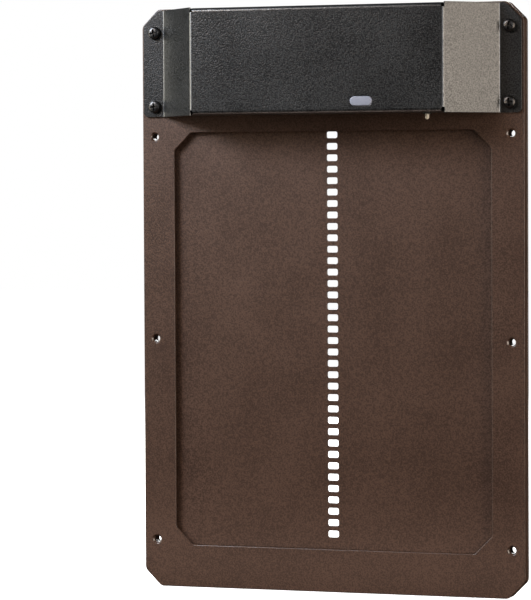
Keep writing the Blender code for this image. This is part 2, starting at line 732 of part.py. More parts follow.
# Battery holder
HOLDER_LEFT = -86 * MM
HOLDER_WALL = 1.6 * MM
SPRING_ROOM = 6.2 * MM
HOLDER_LENGTH = CELL_LENGTH + SPRING_ROOM + 2 * HOLDER_WALL
HOLDER_HEIGHT = 2 * CELL_SPACING + 2 * HOLDER_WALL
HOLDER_DEPTH = 11 * MM
SPRING_TURNS = 3
SPRING_STEPS = 8
SPRING_RADII = (4.6 * MM, 3 * MM)
SPRING_WIRE = 0.35 * MM
CONTACT_SIDE = 9 * MM
CONTACT_THICKNESS = 0.5 * MM


def build_batteries(holder_material, cell_material, metal_material, screw_material):
    """An open tray with two AA cells side by side, a spring and a contact plate for each."""
    back = FRONT_FACE - GAP
    bottom = HOLDER_CENTRE - HOLDER_HEIGHT / 2
    low = (HOLDER_LEFT, back - HOLDER_DEPTH, bottom)
    tray = block(low, (HOLDER_LEFT + HOLDER_LENGTH, back, bottom + HOLDER_HEIGHT))
    tray.faces.ensure_lookup_table()
    bmesh.ops.recalc_face_normals(tray, faces=tray.faces[:])
    mouth = [face for face in tray.faces if face.normal.y < -0.9]
    bmesh.ops.inset_region(tray, faces=mouth, thickness=HOLDER_WALL, use_even_offset=True)
    floor = bmesh.ops.extrude_face_region(tray, geom=mouth)
    sunk = [item for item in floor["geom"] if isinstance(item, bmesh.types.BMVert)]
    bmesh.ops.translate(tray, verts=sunk, vec=(0, HOLDER_DEPTH - HOLDER_WALL, 0))
    bmesh.ops.delete(tray, geom=mouth, context="FACES")
    holder = add_object("battery_holder", tray, holder_material)
    hole = BRACKET_SCREW_RADIUS + TAPPED_CLEARANCE
    cut(holder, drills(HOLDER_SCREW_PLACES, hole, back - 2 * HOLDER_WALL, back + GAP))

    floor_y = back - HOLDER_WALL
    for number, (x, z) in enumerate(HOLDER_SCREW_PLACES, 1):
        profile = pan_screw(BRACKET_SCREW_RADIUS, *HOLDER_SCREW_HEAD, BRACKET_SCREW_LENGTH)
        screw = turned(profile, across_y, SMALL_SCREW_SIDES)
        add_object(f"holder_screw_{number}", screw, screw_material, (x, floor_y - GAP / 2, z), True)

    cell_y = floor_y - CELL_RADIUS - HOLDER_SCREW_HEAD[1] - GAP
    inside = (HOLDER_LEFT + HOLDER_WALL, HOLDER_LEFT + HOLDER_LENGTH - HOLDER_WALL)
    body = CELL_LENGTH - NUB_LENGTH
    profile = [
        (0, 0),
        (CELL_RADIUS, 0),
        (CELL_RADIUS, body),
        (NUB_RADIUS, body),
        (NUB_RADIUS, CELL_LENGTH),
        (0, CELL_LENGTH),
    ]
    for number, side in ((1, 1), (2, -1)):
        z = HOLDER_CENTRE - side * CELL_SPACING / 2
        plate_wall = inside[1] if side > 0 else inside[0]
        spring_wall = inside[0] if side > 0 else inside[1]
        plate = sorted((plate_wall - side * GAP, plate_wall - side * (GAP + CONTACT_THICKNESS)))
        reach = CONTACT_SIDE / 2
        contact = block((plate[0], cell_y - reach, z - reach), (plate[1], cell_y + reach, z + reach))
        add_object(f"battery_contact_{number}", contact, metal_material)
        cell_end = plate_wall - side * (2 * GAP + CONTACT_THICKNESS + CELL_LENGTH)
        placed = [(radius, side * depth) for radius, depth in profile]
        cell = turned(placed, along_x)
        add_object(f"aa_cell_{number}", cell, cell_material, (cell_end, cell_y, z), True)
        clearance = SPRING_WIRE + GAP
        start, end = spring_wall + side * clearance, cell_end - side * clearance
        build_spring(f"battery_spring_{number}", start, end, (cell_y, z), metal_material)


def build_spring(name, start, end, centre, material):
    """A conical wire spring between two places along x."""
    points = []
    for step in range(SPRING_TURNS * SPRING_STEPS + 1):
        share = step / (SPRING_TURNS * SPRING_STEPS)
        angle = math.tau * step / SPRING_STEPS
        radius = SPRING_RADII[0] + (SPRING_RADII[1] - SPRING_RADII[0]) * share
        y = centre[0] + radius * math.cos(angle)
        z = centre[1] + radius * math.sin(angle)
        points.append((start + (end - start) * share, y, z))
    add_wire(name, points, SPRING_WIRE, material, 0)


def add_wire(name, points, radius, material, resolution):
    """A round wire through a list of points."""
    curve = bpy.data.curves.new(name, "CURVE")
    curve.dimensions = "3D"
    curve.bevel_depth = radius
    curve.bevel_resolution = resolution
    curve.use_fill_caps = True
    spline = curve.splines.new("POLY")
    spline.points.add(len(points) - 1)
    for point, place in zip(spline.points, points):
        point.co = (*place, 1.0)
    curve.materials.append(material)
    return add_mesh(name, curve, (0, 0, 0))


def smooth_route(route, steps):
    """Points along a smooth curve through a route's own points, by Catmull and Rom's rule."""
    padded = [route[0]] + route + [route[-1]]
    points = []
    for a, b, c, d in zip(padded, padded[1:], padded[2:], padded[3:]):
        for step in range(steps):
            t = step / steps
            point = []
            for p, q, r, s in zip(a, b, c, d):
                linear = (r - p) * t
                square = (2 * p - 5 * q + 4 * r - s) * t**2
                cube = (3 * q - p - 3 * r + s) * t**3
                point.append((2 * q + linear + square + cube) / 2)
            points.append(point)
    return points + [route[-1]]


LEAD_RADIUS = 0.6 * MM
# Routes in millimetres: from the battery tray and from the motor's end to the back of the board
LEAD_ROUTES = {
    "battery_lead_1": [
        (-25.4, -13, 324), (-20, -13, 321), (-8, -13.5, 318.2), (8, -15, 318.2),
        (20, -22, 320), (24, -27, 324), (24.5, -29.4, 327),
    ],
    "battery_lead_2": [
        (-25.4, -16, 326), (-19, -16, 323.5), (-8, -16.5, 320.8), (8, -18, 320.8),
        (18, -24, 322.5), (21.5, -28, 327), (22, -29.4, 330),
    ],
    "motor_lead_1": [
        (42.3, -23.5, 353.5), (46, -23.5, 353), (48, -24.5, 349), (48.5, -26.5, 344), (48.5, -29.4, 341),
    ],
    "motor_lead_2": [
        (42.3, -23.5, 359), (47, -23.5, 358.5), (51, -24, 354), (52, -26, 346), (52, -29.4, 341),
    ],
}


def build_leads(materials):
    for index, (name, route) in enumerate(LEAD_ROUTES.items()):
        placed = [(x * MM, y * MM, z * MM) for x, y, z in route]
        add_wire(name, smooth_route(placed, 2), LEAD_RADIUS, materials[index % 2], 1)


def gear_outline(teeth, phase):
    """A spur gear with involute flanks, one tooth centred on the phase angle."""
    pitch = teeth * GEAR_MODULE / 2
    base = pitch * math.cos(PRESSURE_ANGLE)
    tip = pitch + GEAR_ADDENDUM
    root = pitch - GEAR_DEDENDUM
    half_tooth = math.pi / teeth / 2 - GEAR_BACKLASH / 2 / pitch

    def involute(radius):
        angle = math.acos(min(1.0, base / radius))
        return math.tan(angle) - angle

    flank = [max(base, root), (max(base, root) + tip) / 2, tip]
    sides = [(root, half_tooth + involute(pitch))]
    sides += [(radius, half_tooth + involute(pitch) - involute(radius)) for radius in flank]
    points = []
    for tooth in range(teeth):
        centre = phase + math.tau * tooth / teeth
        points += [(radius, centre - half) for radius, half in sides]
        points += [(radius, centre + half) for radius, half in reversed(sides)]
    return [(radius * math.cos(a), radius * math.sin(a)) for radius, a in points]


def pinion_outline():
    """Wide-spaced tapered teeth with rounded tips, which reach just past the back of the panel."""
    tip = PANEL_BACK + PINION_REACH - PINION_Y
    root = PINION_RADIUS - PINION_ROOT_DEPTH
    reaches = (root, PINION_RADIUS - PINION_FLANK_START, tip - PINION_TIP_ROUND, tip)
    flank = list(zip(reaches, PINION_TOOTH_HALVES))
    points = []
    for tooth in range(PINION_TEETH):
        centre = math.tau * tooth / PINION_TEETH
        for r, half in [(r, -half) for r, half in flank] + flank[::-1]:
            y = r * math.cos(centre) - half * math.sin(centre)
            z = r * math.sin(centre) + half * math.cos(centre)
            points.append((y, z))
    return points


# Places along the drive shaft
DRIVE_SHAFT_SPAN = (-16 * MM, 20.5 * MM)
LEFT_CHEEK = (-12.6 * MM, -11.1 * MM)
RIGHT_CHEEK = (15.8 * MM, 17.3 * MM)
DRIVE_GEAR_SPAN = (8.2 * MM, 13.2 * MM)
MOTOR_GEAR_SPAN = (7.8 * MM, 13.6 * MM)
BRACKET_SHEET = 1.5 * MM
BUSH_RADIUS = 3 * MM
BUSH_FLANGE_RADIUS = 3.9 * MM
BUSH_FLANGE_THICKNESS = 0.8 * MM
SHAFT_FIT = 0.15 * MM
BRACKET_LEFT = -22 * MM
BRACKET_RIGHT = 28 * MM
BRACKET_HALF_HEIGHT = 19 * MM
CHEEK_HALF_HEIGHT = 9 * MM
CHEEK_FRONT = -22 * MM
MOTOR_CHEEK_FRONT = -29.5 * MM
MOTOR_CHEEK_RISE = 7 * MM
MOTOR_CHEEK_STEP = 2 * MM
MOTOR_SHAFT_PROUD = 0.6 * MM
MOTOR_SHAFT_DEPTH = 1.5 * MM


def rod(radius, start, end):
    """A plain round shaft along x."""
    return turned([(0, start), (radius, start), (radius, end), (0, end)], along_x)


def build_drive(metal, gear_material, brass):
    """The turning pieces: one shaft with the pinion and the large gear, the motor's with the small one."""
    axis = (0, PINION_Y, PINION_Z)
    add_object("drive_shaft", rod(DRIVE_SHAFT_RADIUS, *DRIVE_SHAFT_SPAN), metal, axis, True)
    bore = circle(0, 0, DRIVE_SHAFT_RADIUS + SHAFT_FIT)
    pinion = prism([pinion_outline(), bore], along_x, -PINION_WIDTH / 2, PINION_WIDTH / 2)
    add_object("drive_pinion", pinion, gear_material, axis)

    towards_motor = math.atan2(MOTOR_Z - PINION_Z, MOTOR_Y - PINION_Y)
    large = gear_outline(DRIVE_GEAR_TEETH, towards_motor)
    add_object("drive_gear", prism([large, bore], along_x, *DRIVE_GEAR_SPAN), gear_material, axis)

    motor_axis = (0, MOTOR_Y, MOTOR_Z)
    phase = towards_motor + math.pi + math.pi / MOTOR_GEAR_TEETH
    small = gear_outline(MOTOR_GEAR_TEETH, phase)
    motor_bore = circle(0, 0, MOTOR_SHAFT_RADIUS + SHAFT_FIT)
    add_object("motor_gear", prism([small, motor_bore], along_x, *MOTOR_GEAR_SPAN), brass, motor_axis)
    ends = (MOTOR_GEAR_SPAN[0] - MOTOR_SHAFT_PROUD, GEARBOX_LEFT + MOTOR_SHAFT_DEPTH)
    add_object("motor_shaft", rod(MOTOR_SHAFT_RADIUS, *ends), metal, motor_axis, True)


def build_bracket(material, screw_material, bush_material):
    """A steel U: its base is screwed to the front sheet, its cheeks hold the bushes and the gearbox."""
    back = FRONT_FACE - GAP
    front = back - BRACKET_SHEET
    low = PINION_Z - BRACKET_HALF_HEIGHT
    high = PINION_Z + BRACKET_HALF_HEIGHT
    base = [rectangle(BRACKET_LEFT, BRACKET_RIGHT, low, high), drive_window()]
    hole = BRACKET_SCREW_RADIUS + TAPPED_CLEARANCE
    base += [circle(x, z, hole, SMALL_HOLE_SIDES) for x, z in BRACKET_SCREW_PLACES]
    bracket = add_object("drive_bracket", prism(base, across_y, front, back), material)
    seat = back - BRACKET_SHEET / 3
    bush_hole = circle(PINION_Y, PINION_Z, BUSH_RADIUS + SHAFT_FIT)
    motor_hole = circle(MOTOR_Y, MOTOR_Z, MOTOR_SHAFT_RADIUS + 2 * GAP)
    cheek_low = PINION_Z - CHEEK_HALF_HEIGHT
    cheek_high = PINION_Z + CHEEK_HALF_HEIGHT
    left = rectangle(CHEEK_FRONT, seat, cheek_low, cheek_high)
    top = MOTOR_Z + MOTOR_CHEEK_RISE
    right = [
        (seat, cheek_low),
        (seat, top),
        (MOTOR_CHEEK_FRONT, top),
        (MOTOR_CHEEK_FRONT, PINION_Z + MOTOR_CHEEK_STEP),
        (CHEEK_FRONT, cheek_low),
    ]
    cut(bracket, prism([left, bush_hole], along_x, *LEFT_CHEEK), "UNION")
    cut(bracket, prism([right, bush_hole, motor_hole], along_x, *RIGHT_CHEEK), "UNION")

    for number, (x, z) in enumerate(BRACKET_SCREW_PLACES, 1):
        profile = pan_screw(BRACKET_SCREW_RADIUS, *BRACKET_SCREW_HEAD, BRACKET_SCREW_LENGTH)
        screw = turned(profile, across_y, SMALL_SCREW_SIDES)
        add_object(f"bracket_screw_{number}", screw, screw_material, (x, front - GAP / 2, z), True)

    bore = DRIVE_SHAFT_RADIUS + SHAFT_FIT
    sides = (("left_shaft_bush", LEFT_CHEEK[0], -1), ("right_shaft_bush", RIGHT_CHEEK[1], 1))
    for name, cheek, side in sides:
        outside = cheek + side * GAP / 2
        lip = outside + side * BUSH_FLANGE_THICKNESS
        inside = cheek - side * BRACKET_SHEET
        ring = [
            (bore, lip),
            (BUSH_FLANGE_RADIUS, lip),
            (BUSH_FLANGE_RADIUS, outside),
            (BUSH_RADIUS, outside),
            (BUSH_RADIUS, inside),
            (bore, inside),
        ]
        bush = turned(ring, along_x, closed=True)
        add_object(name, bush, bush_material, (0, PINION_Y, PINION_Z), True)


# Gearmotor: a gearbox and a flat-sided motor can, both of one section
GEARBOX_LEFT = RIGHT_CHEEK[1] + GAP
GEARBOX_LENGTH = 9 * MM
MOTOR_LENGTH = 15 * MM
MOTOR_HALF_DEPTH = 5 * MM
MOTOR_HALF_HEIGHT = 6 * MM
MOTOR_CORNER_RADIUS = 4 * MM
GEARBOX_BORE_DEPTH = 3 * MM


def build_motor(gearbox_material, can_material):
    low = (MOTOR_Y - MOTOR_HALF_DEPTH, MOTOR_Z - MOTOR_HALF_HEIGHT)
    high = (MOTOR_Y + MOTOR_HALF_DEPTH, MOTOR_Z + MOTOR_HALF_HEIGHT)
    section = rectangle(low[0], high[0], low[1], high[1])
    gearbox_right = GEARBOX_LEFT + GEARBOX_LENGTH
    box = prism([section], along_x, GEARBOX_LEFT, gearbox_right)
    gearbox = add_object("motor_gearbox", box, gearbox_material)
    bore = circle(MOTOR_Y, MOTOR_Z, MOTOR_SHAFT_RADIUS + GAP, SMALL_HOLE_SIDES)
    cut(gearbox, prism([bore], along_x, GEARBOX_LEFT - GAP, GEARBOX_LEFT + GEARBOX_BORE_DEPTH))
    can_left = gearbox_right + GAP
    rounded = fillet(section, MOTOR_CORNER_RADIUS, 4)
    add_object("motor_can", prism([rounded], along_x, can_left, can_left + MOTOR_LENGTH), can_material)


def build_all():
    remove_startup_objects()
    bpy.context.scene.collection.objects.link(PART_FRAME)
    PART_FRAME.location = (0, 0, -BOTTOM_RAIL / 2)

    brown = finish("brown powder coat", (0.070, 0.043, 0.031), 0.55)
    black = finish("black textured powder coat", (0.022, 0.022, 0.023), 0.5)
    black_steel = finish("black oxide steel", (0.012, 0.012, 0.012), 0.3, 1.0)
    steel = finish("zinc plated steel", (0.58, 0.58, 0.57), 0.35, 1.0)
    brass = finish("brass", (0.72, 0.50, 0.22), 0.3, 1.0)
    smoke = finish("pale translucent plastic", (0.46, 0.45, 0.53), 0.3)
    clear = finish("clear lens plastic", (0.80, 0.73, 0.60), 0.15)
    rubber = finish("black rubber", (0.015, 0.015, 0.015), 0.8)
    nylon = finish("white nylon", (0.75, 0.74, 0.70), 0.45)
    dark = finish("black plastic", (0.018, 0.018, 0.020), 0.45)
    board = finish("green circuit board", (0.015, 0.11, 0.045), 0.35)
    cell = finish("battery label", (0.05, 0.05, 0.055), 0.35)
    red = finish("red lead", (0.45, 0.02, 0.02), 0.45)

    build_front_sheet(brown)
    build_rear_sheet(brown)
    build_guide_strips(brown)
    build_sill(brown)
    build_rear_screws(black_steel)
    build_door_panel(brown)
    build_bracket(steel, steel, brass)
    build_drive(steel, nylon, brass)
    build_motor(brass, steel)
    build_batteries(dark, cell, steel, steel)
    build_board(board, dark, smoke, steel, steel)
    build_leads((red, dark))
    build_button(smoke, nylon, dark)
    build_sensor(clear, rubber)
    build_hood(black)
    build_hood_screws(black_steel)


build_all()
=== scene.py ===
import math

import bmesh
import bpy
from mathutils import Matrix, Vector


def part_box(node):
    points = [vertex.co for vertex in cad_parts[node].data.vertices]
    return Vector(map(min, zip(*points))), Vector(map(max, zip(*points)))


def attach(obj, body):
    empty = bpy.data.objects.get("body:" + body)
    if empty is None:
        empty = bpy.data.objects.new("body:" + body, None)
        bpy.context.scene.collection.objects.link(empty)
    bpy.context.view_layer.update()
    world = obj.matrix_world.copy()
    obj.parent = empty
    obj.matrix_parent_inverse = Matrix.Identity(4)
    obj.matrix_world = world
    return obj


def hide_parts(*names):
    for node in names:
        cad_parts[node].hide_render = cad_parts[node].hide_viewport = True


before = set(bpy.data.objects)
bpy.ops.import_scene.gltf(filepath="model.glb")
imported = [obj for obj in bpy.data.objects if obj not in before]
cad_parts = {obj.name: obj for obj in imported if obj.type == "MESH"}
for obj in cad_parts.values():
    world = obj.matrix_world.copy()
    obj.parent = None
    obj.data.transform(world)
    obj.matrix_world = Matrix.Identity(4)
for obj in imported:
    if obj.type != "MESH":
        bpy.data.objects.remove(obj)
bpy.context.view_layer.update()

# Frame sheets
# Two laser-cut sheets share one outline, one opening and six screw holes. Both are powder coated
# brown, which rounds their cut edges. The front one carries the hood, the rear one meets the wall.
MM = 0.001
frame_low, frame_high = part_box("front_frame_plate")
rear_low, rear_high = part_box("rear_frame_plate")
bottom_edge = frame_low.z
FRAME_CHAMFER = 11.2 * MM
FRAME_CORNER_RADIUS = 5 * MM
OPENING_WIDTH = 219 * MM
OPENING_HEIGHT = 275 * MM
OPENING_SILL = bottom_edge + 28 * MM
OPENING_CHAMFER = 12 * MM
OPENING_CORNER_RADIUS = 3 * MM
MOUNT_HOLE_X = 122.9 * MM
MOUNT_HOLE_HEIGHTS = [bottom_edge + height * MM for height in (31.4, 165.8, 300.2)]
MOUNT_HOLE_RADIUS = 2.3 * MM
MOUNT_HOLE_SINK = 1.0 * MM
MOUNT_RIM_STEPS = 5
SHEET_EDGE = 0.3 * MM
ARC_STEPS = 8
EDGE_STEPS = 4
HOLE_SIDES = 40


def corner_arc(before, corner, after, radius, steps=ARC_STEPS):
    """The points of the arc that rounds one corner of a path."""
    ends = [math.atan2(p[1] - corner[1], p[0] - corner[0]) for p in (before, after)]
    turn = (ends[1] - ends[0] + math.pi) % math.tau - math.pi
    middle = ends[0] + turn / 2
    reach = radius / math.sin(abs(turn) / 2)
    centre = (corner[0] + reach * math.cos(middle), corner[1] + reach * math.sin(middle))
    sweep = (math.pi - abs(turn)) * -math.copysign(1, turn)
    start = middle + math.pi - sweep / 2
    angles = [start + sweep * step / steps for step in range(steps + 1)]
    return [(centre[0] + radius * math.cos(a), centre[1] + radius * math.sin(a)) for a in angles]


def rounded(corners, radius, steps=ARC_STEPS):
    """A closed outline with every corner rounded."""
    points = []
    for index, corner in enumerate(corners):
        after = corners[(index + 1) % len(corners)]
        points += corner_arc(corners[index - 1], corner, after, radius, steps)
    return points


def box_corners(left, right, low, high):
    """The four corners of a rectangle, anticlockwise."""
    return [(left, low), (right, low), (right, high), (left, high)]


def cut_corners(left, right, low, high, cut):
    """The eight corners of a rectangle with its corners cut off at 45 degrees."""
    lower = [(left, low + cut), (left + cut, low), (right - cut, low), (right, low + cut)]
    upper = [(right, high - cut), (right - cut, high), (left + cut, high), (left, high - cut)]
    return lower + upper


def ring(x, z, radius, sides=HOLE_SIDES):
    """The points of a circle, anticlockwise."""
    angles = [math.tau * side / sides for side in range(sides)]
    return [(x + radius * math.cos(a), z + radius * math.sin(a)) for a in angles]


def moved_left(loop, distance):
    """A closed loop moved sideways, to the left of its own direction."""
    moved = []
    for before, here, after in zip(loop[-1:] + loop[:-1], loop, loop[1:] + loop[:1]):
        first = (Vector(here) - Vector(before)).normalized().orthogonal()
        second = (Vector(after) - Vector(here)).normalized().orthogonal()
        across = first + second
        moved.append(tuple(Vector(here) + across * (2 * distance / across.length_squared)))
    return moved


def quarter_turn(steps):
    """Even angles from 0 to 90 degrees."""
    return [math.pi / 2 * step / steps for step in range(steps + 1)]


def edge_profile(front, back, radius):
    """A cut edge with both arrises rounded, as (distance into the sheet, depth) from front to back."""
    angles = quarter_turn(EDGE_STEPS)
    first = [(radius * (1 - math.sin(a)), front + radius * (1 - math.cos(a))) for a in angles]
    last = [(radius * (1 - math.cos(a)), back - radius * (1 - math.sin(a))) for a in angles]
    return first + last


def stitch(bm, rims, smooth=True):
    """Joins closed rims of equal length, each to the next, with bands of faces."""
    for near, far in zip(rims, rims[1:]):
        for corners in zip(near, near[1:] + near[:1], far[1:] + far[:1], far):
            bm.faces.new(corners).smooth = smooth


def cut_sheet(cuts):
    """A sheet from its cut lines: the outline first, then the holes, each with its edge profile."""
    bm = bmesh.new()
    faces = {0: [], -1: []}
    for number, (loop, profile) in enumerate(cuts):
        path = loop if number == 0 else loop[::-1]
        rims = []
        for inset, depth in profile:
            rims.append([bm.verts.new((x, depth, z)) for x, z in moved_left(path, inset)])
        stitch(bm, rims)
        for end, edges in faces.items():
            rim = rims[end]
            edges += [bm.edges.get(pair) for pair in zip(rim, rim[1:] + rim[:1])]
    for edges in faces.values():
        bmesh.ops.triangle_fill(bm, use_beauty=True, use_dissolve=False, edges=edges)
    bmesh.ops.recalc_face_normals(bm, faces=bm.faces[:])
    return bm


def linear(colour):
    """An sRGB hex colour as linear red, green, blue and alpha."""
    parts = [int(colour[i:i + 2], 16) / 255 for i in (1, 3, 5)]
    return [p / 12.92 if p <= 0.04045 else ((p + 0.055) / 1.055) ** 2.4 for p in parts] + [1.0]


def wire(tree, node, inputs):
    """Sets a node's inputs. Each is a value, or an output socket to link from."""
    for name, value in inputs.items():
        if isinstance(value, bpy.types.NodeSocket):
            tree.links.new(value, node.inputs[name])
        else:
            node.inputs[name].default_value = value


def put(tree, kind, settings, inputs):
    """Adds a node with its settings and inputs."""
    node = tree.nodes.new(kind)
    for name, value in settings.items():
        setattr(node, name, value)
    wire(tree, node, inputs)
    return node


def new_material(name):
    """An empty material with its shader, and the coordinates of the piece it is on."""
    material = bpy.data.materials.new(name)
    material.use_nodes = True
    tree = material.node_tree
    place = put(tree, "ShaderNodeTexCoord", {}, {}).outputs["Object"]
    return material, tree, tree.nodes["Principled BSDF"], place


COAT_CLOUD_SIZE = 45 * MM
COAT_CLOUD_SHARE = 0.3
COAT_ROUGHNESS_SPREAD = 0.04
COAT_SHEEN_SPREAD = 0.25
# Along marked bends the bumps are lower, and the sheen is raised as a painted highlight on the bend lines
BEND_BUMP_LOWERING = 0.8
PAINTED_BEND_SHEEN = 1.4


def powder_coat(name, dark, light, reach, grain, depth, roughness, sheen):
    """Powder coat, sprayed dry and melted: flowed bumps, slightly uneven in colour and gloss.

    The tone goes from dark to light over the reach to each side of the noise's middle. A mesh's
    "bend" attribute marks its bends for lower bumps and a painted highlight: a stronger sheen there.
    """
    material, tree, shader, place = new_material(name)
    bumps = put(
        tree, "ShaderNodeTexNoise", {}, {"Vector": place, "Scale": 1 / grain, "Detail": 0.0}
    ).outputs["Fac"]
    cloud = put(
        tree, "ShaderNodeTexNoise", {}, {"Vector": place, "Scale": 1 / COAT_CLOUD_SIZE, "Detail": 2.0}
    ).outputs["Fac"]
    bend = put(tree, "ShaderNodeAttribute", {"attribute_name": "bend"}, {}).outputs["Fac"]
    clouded = put(tree, "ShaderNodeMath", {"operation": "MULTIPLY"}, {0: cloud, 1: COAT_CLOUD_SHARE})
    tone = put(
        tree,
        "ShaderNodeMath",
        {"operation": "MULTIPLY_ADD"},
        {0: bumps, 1: 1 - COAT_CLOUD_SHARE, 2: clouded.outputs[0]},
    )
    ramp = put(tree, "ShaderNodeValToRGB", {}, {"Fac": tone.outputs[0]})
    for stop, position, colour in zip(ramp.color_ramp.elements, (0.5 - reach, 0.5 + reach), (dark, light)):
        stop.position = position
        stop.color = linear(colour)
    rougher = put(
        tree,
        "ShaderNodeMapRange",
        {},
        {
            "Value": cloud,
            "To Min": roughness - COAT_ROUGHNESS_SPREAD,
            "To Max": roughness + COAT_ROUGHNESS_SPREAD,
        },
    )
    smoothed = put(
        tree, "ShaderNodeMath", {"operation": "MULTIPLY_ADD"}, {0: bend, 1: -BEND_BUMP_LOWERING, 2: 1.0}
    )
    bump = put(
        tree, "ShaderNodeBump", {}, {"Height": bumps, "Strength": smoothed.outputs[0], "Distance": depth}
    )
    uneven = put(
        tree,
        "ShaderNodeMapRange",
        {},
        {"Value": bumps, "To Min": sheen - COAT_SHEEN_SPREAD, "To Max": sheen + COAT_SHEEN_SPREAD},
    )
    # Painted highlight: the sheen is raised along the marked bends
    bend_highlight = put(
        tree,
        "ShaderNodeMath",
        {"operation": "MULTIPLY_ADD"},
        {0: bend, 1: PAINTED_BEND_SHEEN, 2: uneven.outputs["Result"]},
    )
    # The socket's own value is the mean, which an export without the link falls back on
    wire(tree, shader, {"Specular IOR Level": sheen})
    wire(
        tree,
        shader,
        {
            "Base Color": ramp.outputs["Color"],
            "Roughness": rougher.outputs["Result"],
            "Normal": bump.outputs["Normal"],
            "Specular IOR Level": bend_highlight.outputs[0],
        },
    )
    return material


# Brown polyester powder coat, melted on in an oven: a satin face, faintly speckled by its bumps.
# They are finer than a pixel of the picture, about 0.65 mm, and are drawn coarse enough to show.
# At 0.83 mm both faces that show in front lie off the noise's even planes, where bumps would fade.
brown_coat = powder_coat(
    "brown powder coat",
    "#3c2b22",
    "#543d30",
    reach=0.12,
    grain=0.83 * MM,
    depth=0.055 * MM,
    roughness=0.32,
    sheen=0.9,
)


def mesh_of(name, bm):
    """A mesh from a bmesh, which is used up."""
    mesh = bpy.data.meshes.new(name)
    bm.to_mesh(mesh)
    bm.free()
    return mesh


def show_mesh(name, mesh, material, nodes, body, crease=None):
    """Makes a finished piece that stands for its CAD nodes and moves with their body.

    Edges that turn by more than the crease, in degrees, are shaded as sharp ones.
    """
    mesh.materials.clear()
    mesh.materials.append(material)
    if crease:
        mesh.set_sharp_from_angle(angle=math.radians(crease))
    piece = bpy.data.objects.new(name, mesh)
    bpy.context.scene.collection.objects.link(piece)
    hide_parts(*nodes)
    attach(piece, body)
    return piece


def show(name, bm, material, nodes, body, crease=None):
    """Makes a finished piece from a bmesh, which is used up."""
    return show_mesh(name, mesh_of(name, bm), material, nodes, body, crease)


def numbered(kind, count):
    """The names of a row of like CAD nodes."""
    return [f"{kind}_{number}" for number in range(1, count + 1)]


def centre_of(node):
    """The middle of a CAD node's box."""
    low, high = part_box(node)
    return (low + high) / 2


def frame_cuts(front, back):
    """The cuts that both frame sheets share: the outline, the opening and the mounting holes."""
    profile = edge_profile(front, back, SHEET_EDGE)
    outline = cut_corners(frame_low.x, frame_high.x, frame_low.z, frame_high.z, FRAME_CHAMFER)
    half = OPENING_WIDTH / 2
    opening = cut_corners(-half, half, OPENING_SILL, OPENING_SILL + OPENING_HEIGHT, OPENING_CHAMFER)
    hole_profile = []
    for step in range(MOUNT_RIM_STEPS + 1):
        sunk = MOUNT_HOLE_SINK * step / MOUNT_RIM_STEPS
        hole_profile.append((MOUNT_HOLE_SINK - sunk, front + sunk))
    hole_profile.append((0, back))
    cuts = [(rounded(outline, FRAME_CORNER_RADIUS), profile)]
    cuts.append((rounded(opening, OPENING_CORNER_RADIUS), profile))
    for x in (-MOUNT_HOLE_X, MOUNT_HOLE_X):
        cuts += [(ring(x, z, MOUNT_HOLE_RADIUS), hole_profile) for z in MOUNT_HOLE_HEIGHTS]
    return cuts


# The front sheet also has a window for the drive's pinion, and holes for all that is screwed to it
WINDOW_LEFT = -8 * MM
WINDOW_RIGHT = 15.3 * MM
WINDOW_HALF_HEIGHT = 14 * MM
WINDOW_CORNER_RADIUS = 2 * MM
HOOD_SCREW_COUNT = 4
BRACKET_SCREW_COUNT = 4
HOLDER_SCREW_COUNT = 2
HOOD_SCREW_HOLE_RADIUS = 2.25 * MM
SMALL_SCREW_HOLE_RADIUS = 1.75 * MM
SCREW_HOLE_SIDES = 24
axle_height = centre_of("drive_shaft").z
window_low, window_high = axle_height - WINDOW_HALF_HEIGHT, axle_height + WINDOW_HALF_HEIGHT
window = box_corners(WINDOW_LEFT, WINDOW_RIGHT, window_low, window_high)
front_profile = edge_profile(frame_low.y, frame_high.y, SHEET_EDGE)
front_cuts = frame_cuts(frame_low.y, frame_high.y)
front_cuts.append((rounded(window, WINDOW_CORNER_RADIUS), front_profile))
for kind, count, radius in (
    ("hood_screw", HOOD_SCREW_COUNT, HOOD_SCREW_HOLE_RADIUS),
    ("bracket_screw", BRACKET_SCREW_COUNT, SMALL_SCREW_HOLE_RADIUS),
    ("holder_screw", HOLDER_SCREW_COUNT, SMALL_SCREW_HOLE_RADIUS),
):
    for node in numbered(kind, count):
        centre = centre_of(node)
        front_cuts.append((ring(centre.x, centre.z, radius, SCREW_HOLE_SIDES), front_profile))
show("front_sheet", cut_sheet(front_cuts), brown_coat, ["front_frame_plate"], "frame")

# The rear sheet is countersunk for its own screws
REAR_SCREW_COUNT = 8
SINK_BORE = 1.9 * MM
SINK_DEPTH = 1.2 * MM
rear_screw_nodes = numbered("rear_screw", REAR_SCREW_COUNT)
rear_screw_centres = [centre_of(node) for node in rear_screw_nodes]
sink_profile = [(0, rear_low.y), (0, rear_high.y - SINK_DEPTH), (SINK_DEPTH, rear_high.y)]
rear_cuts = frame_cuts(rear_low.y, rear_high.y)
rear_cuts += [(ring(centre.x, centre.z, SINK_BORE), sink_profile) for centre in rear_screw_centres]
show("rear_sheet", cut_sheet(rear_cuts), brown_coat, ["rear_frame_plate"], "frame")

# Guide strips and sill
# L-shaped bars down each side between the sheets, whose lips guide the panel's edges, and a flat bar
# across the bottom for the panel to stand on. They are coated as the sheets are.


def dress(material, nodes):
    """Gives CAD nodes whose shape is already right their finish."""
    for node in nodes:
        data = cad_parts[node].data
        data.materials.clear()
        data.materials.append(material)


dress(brown_coat, ["left_guide_strip", "right_guide_strip", "sill_strip"])

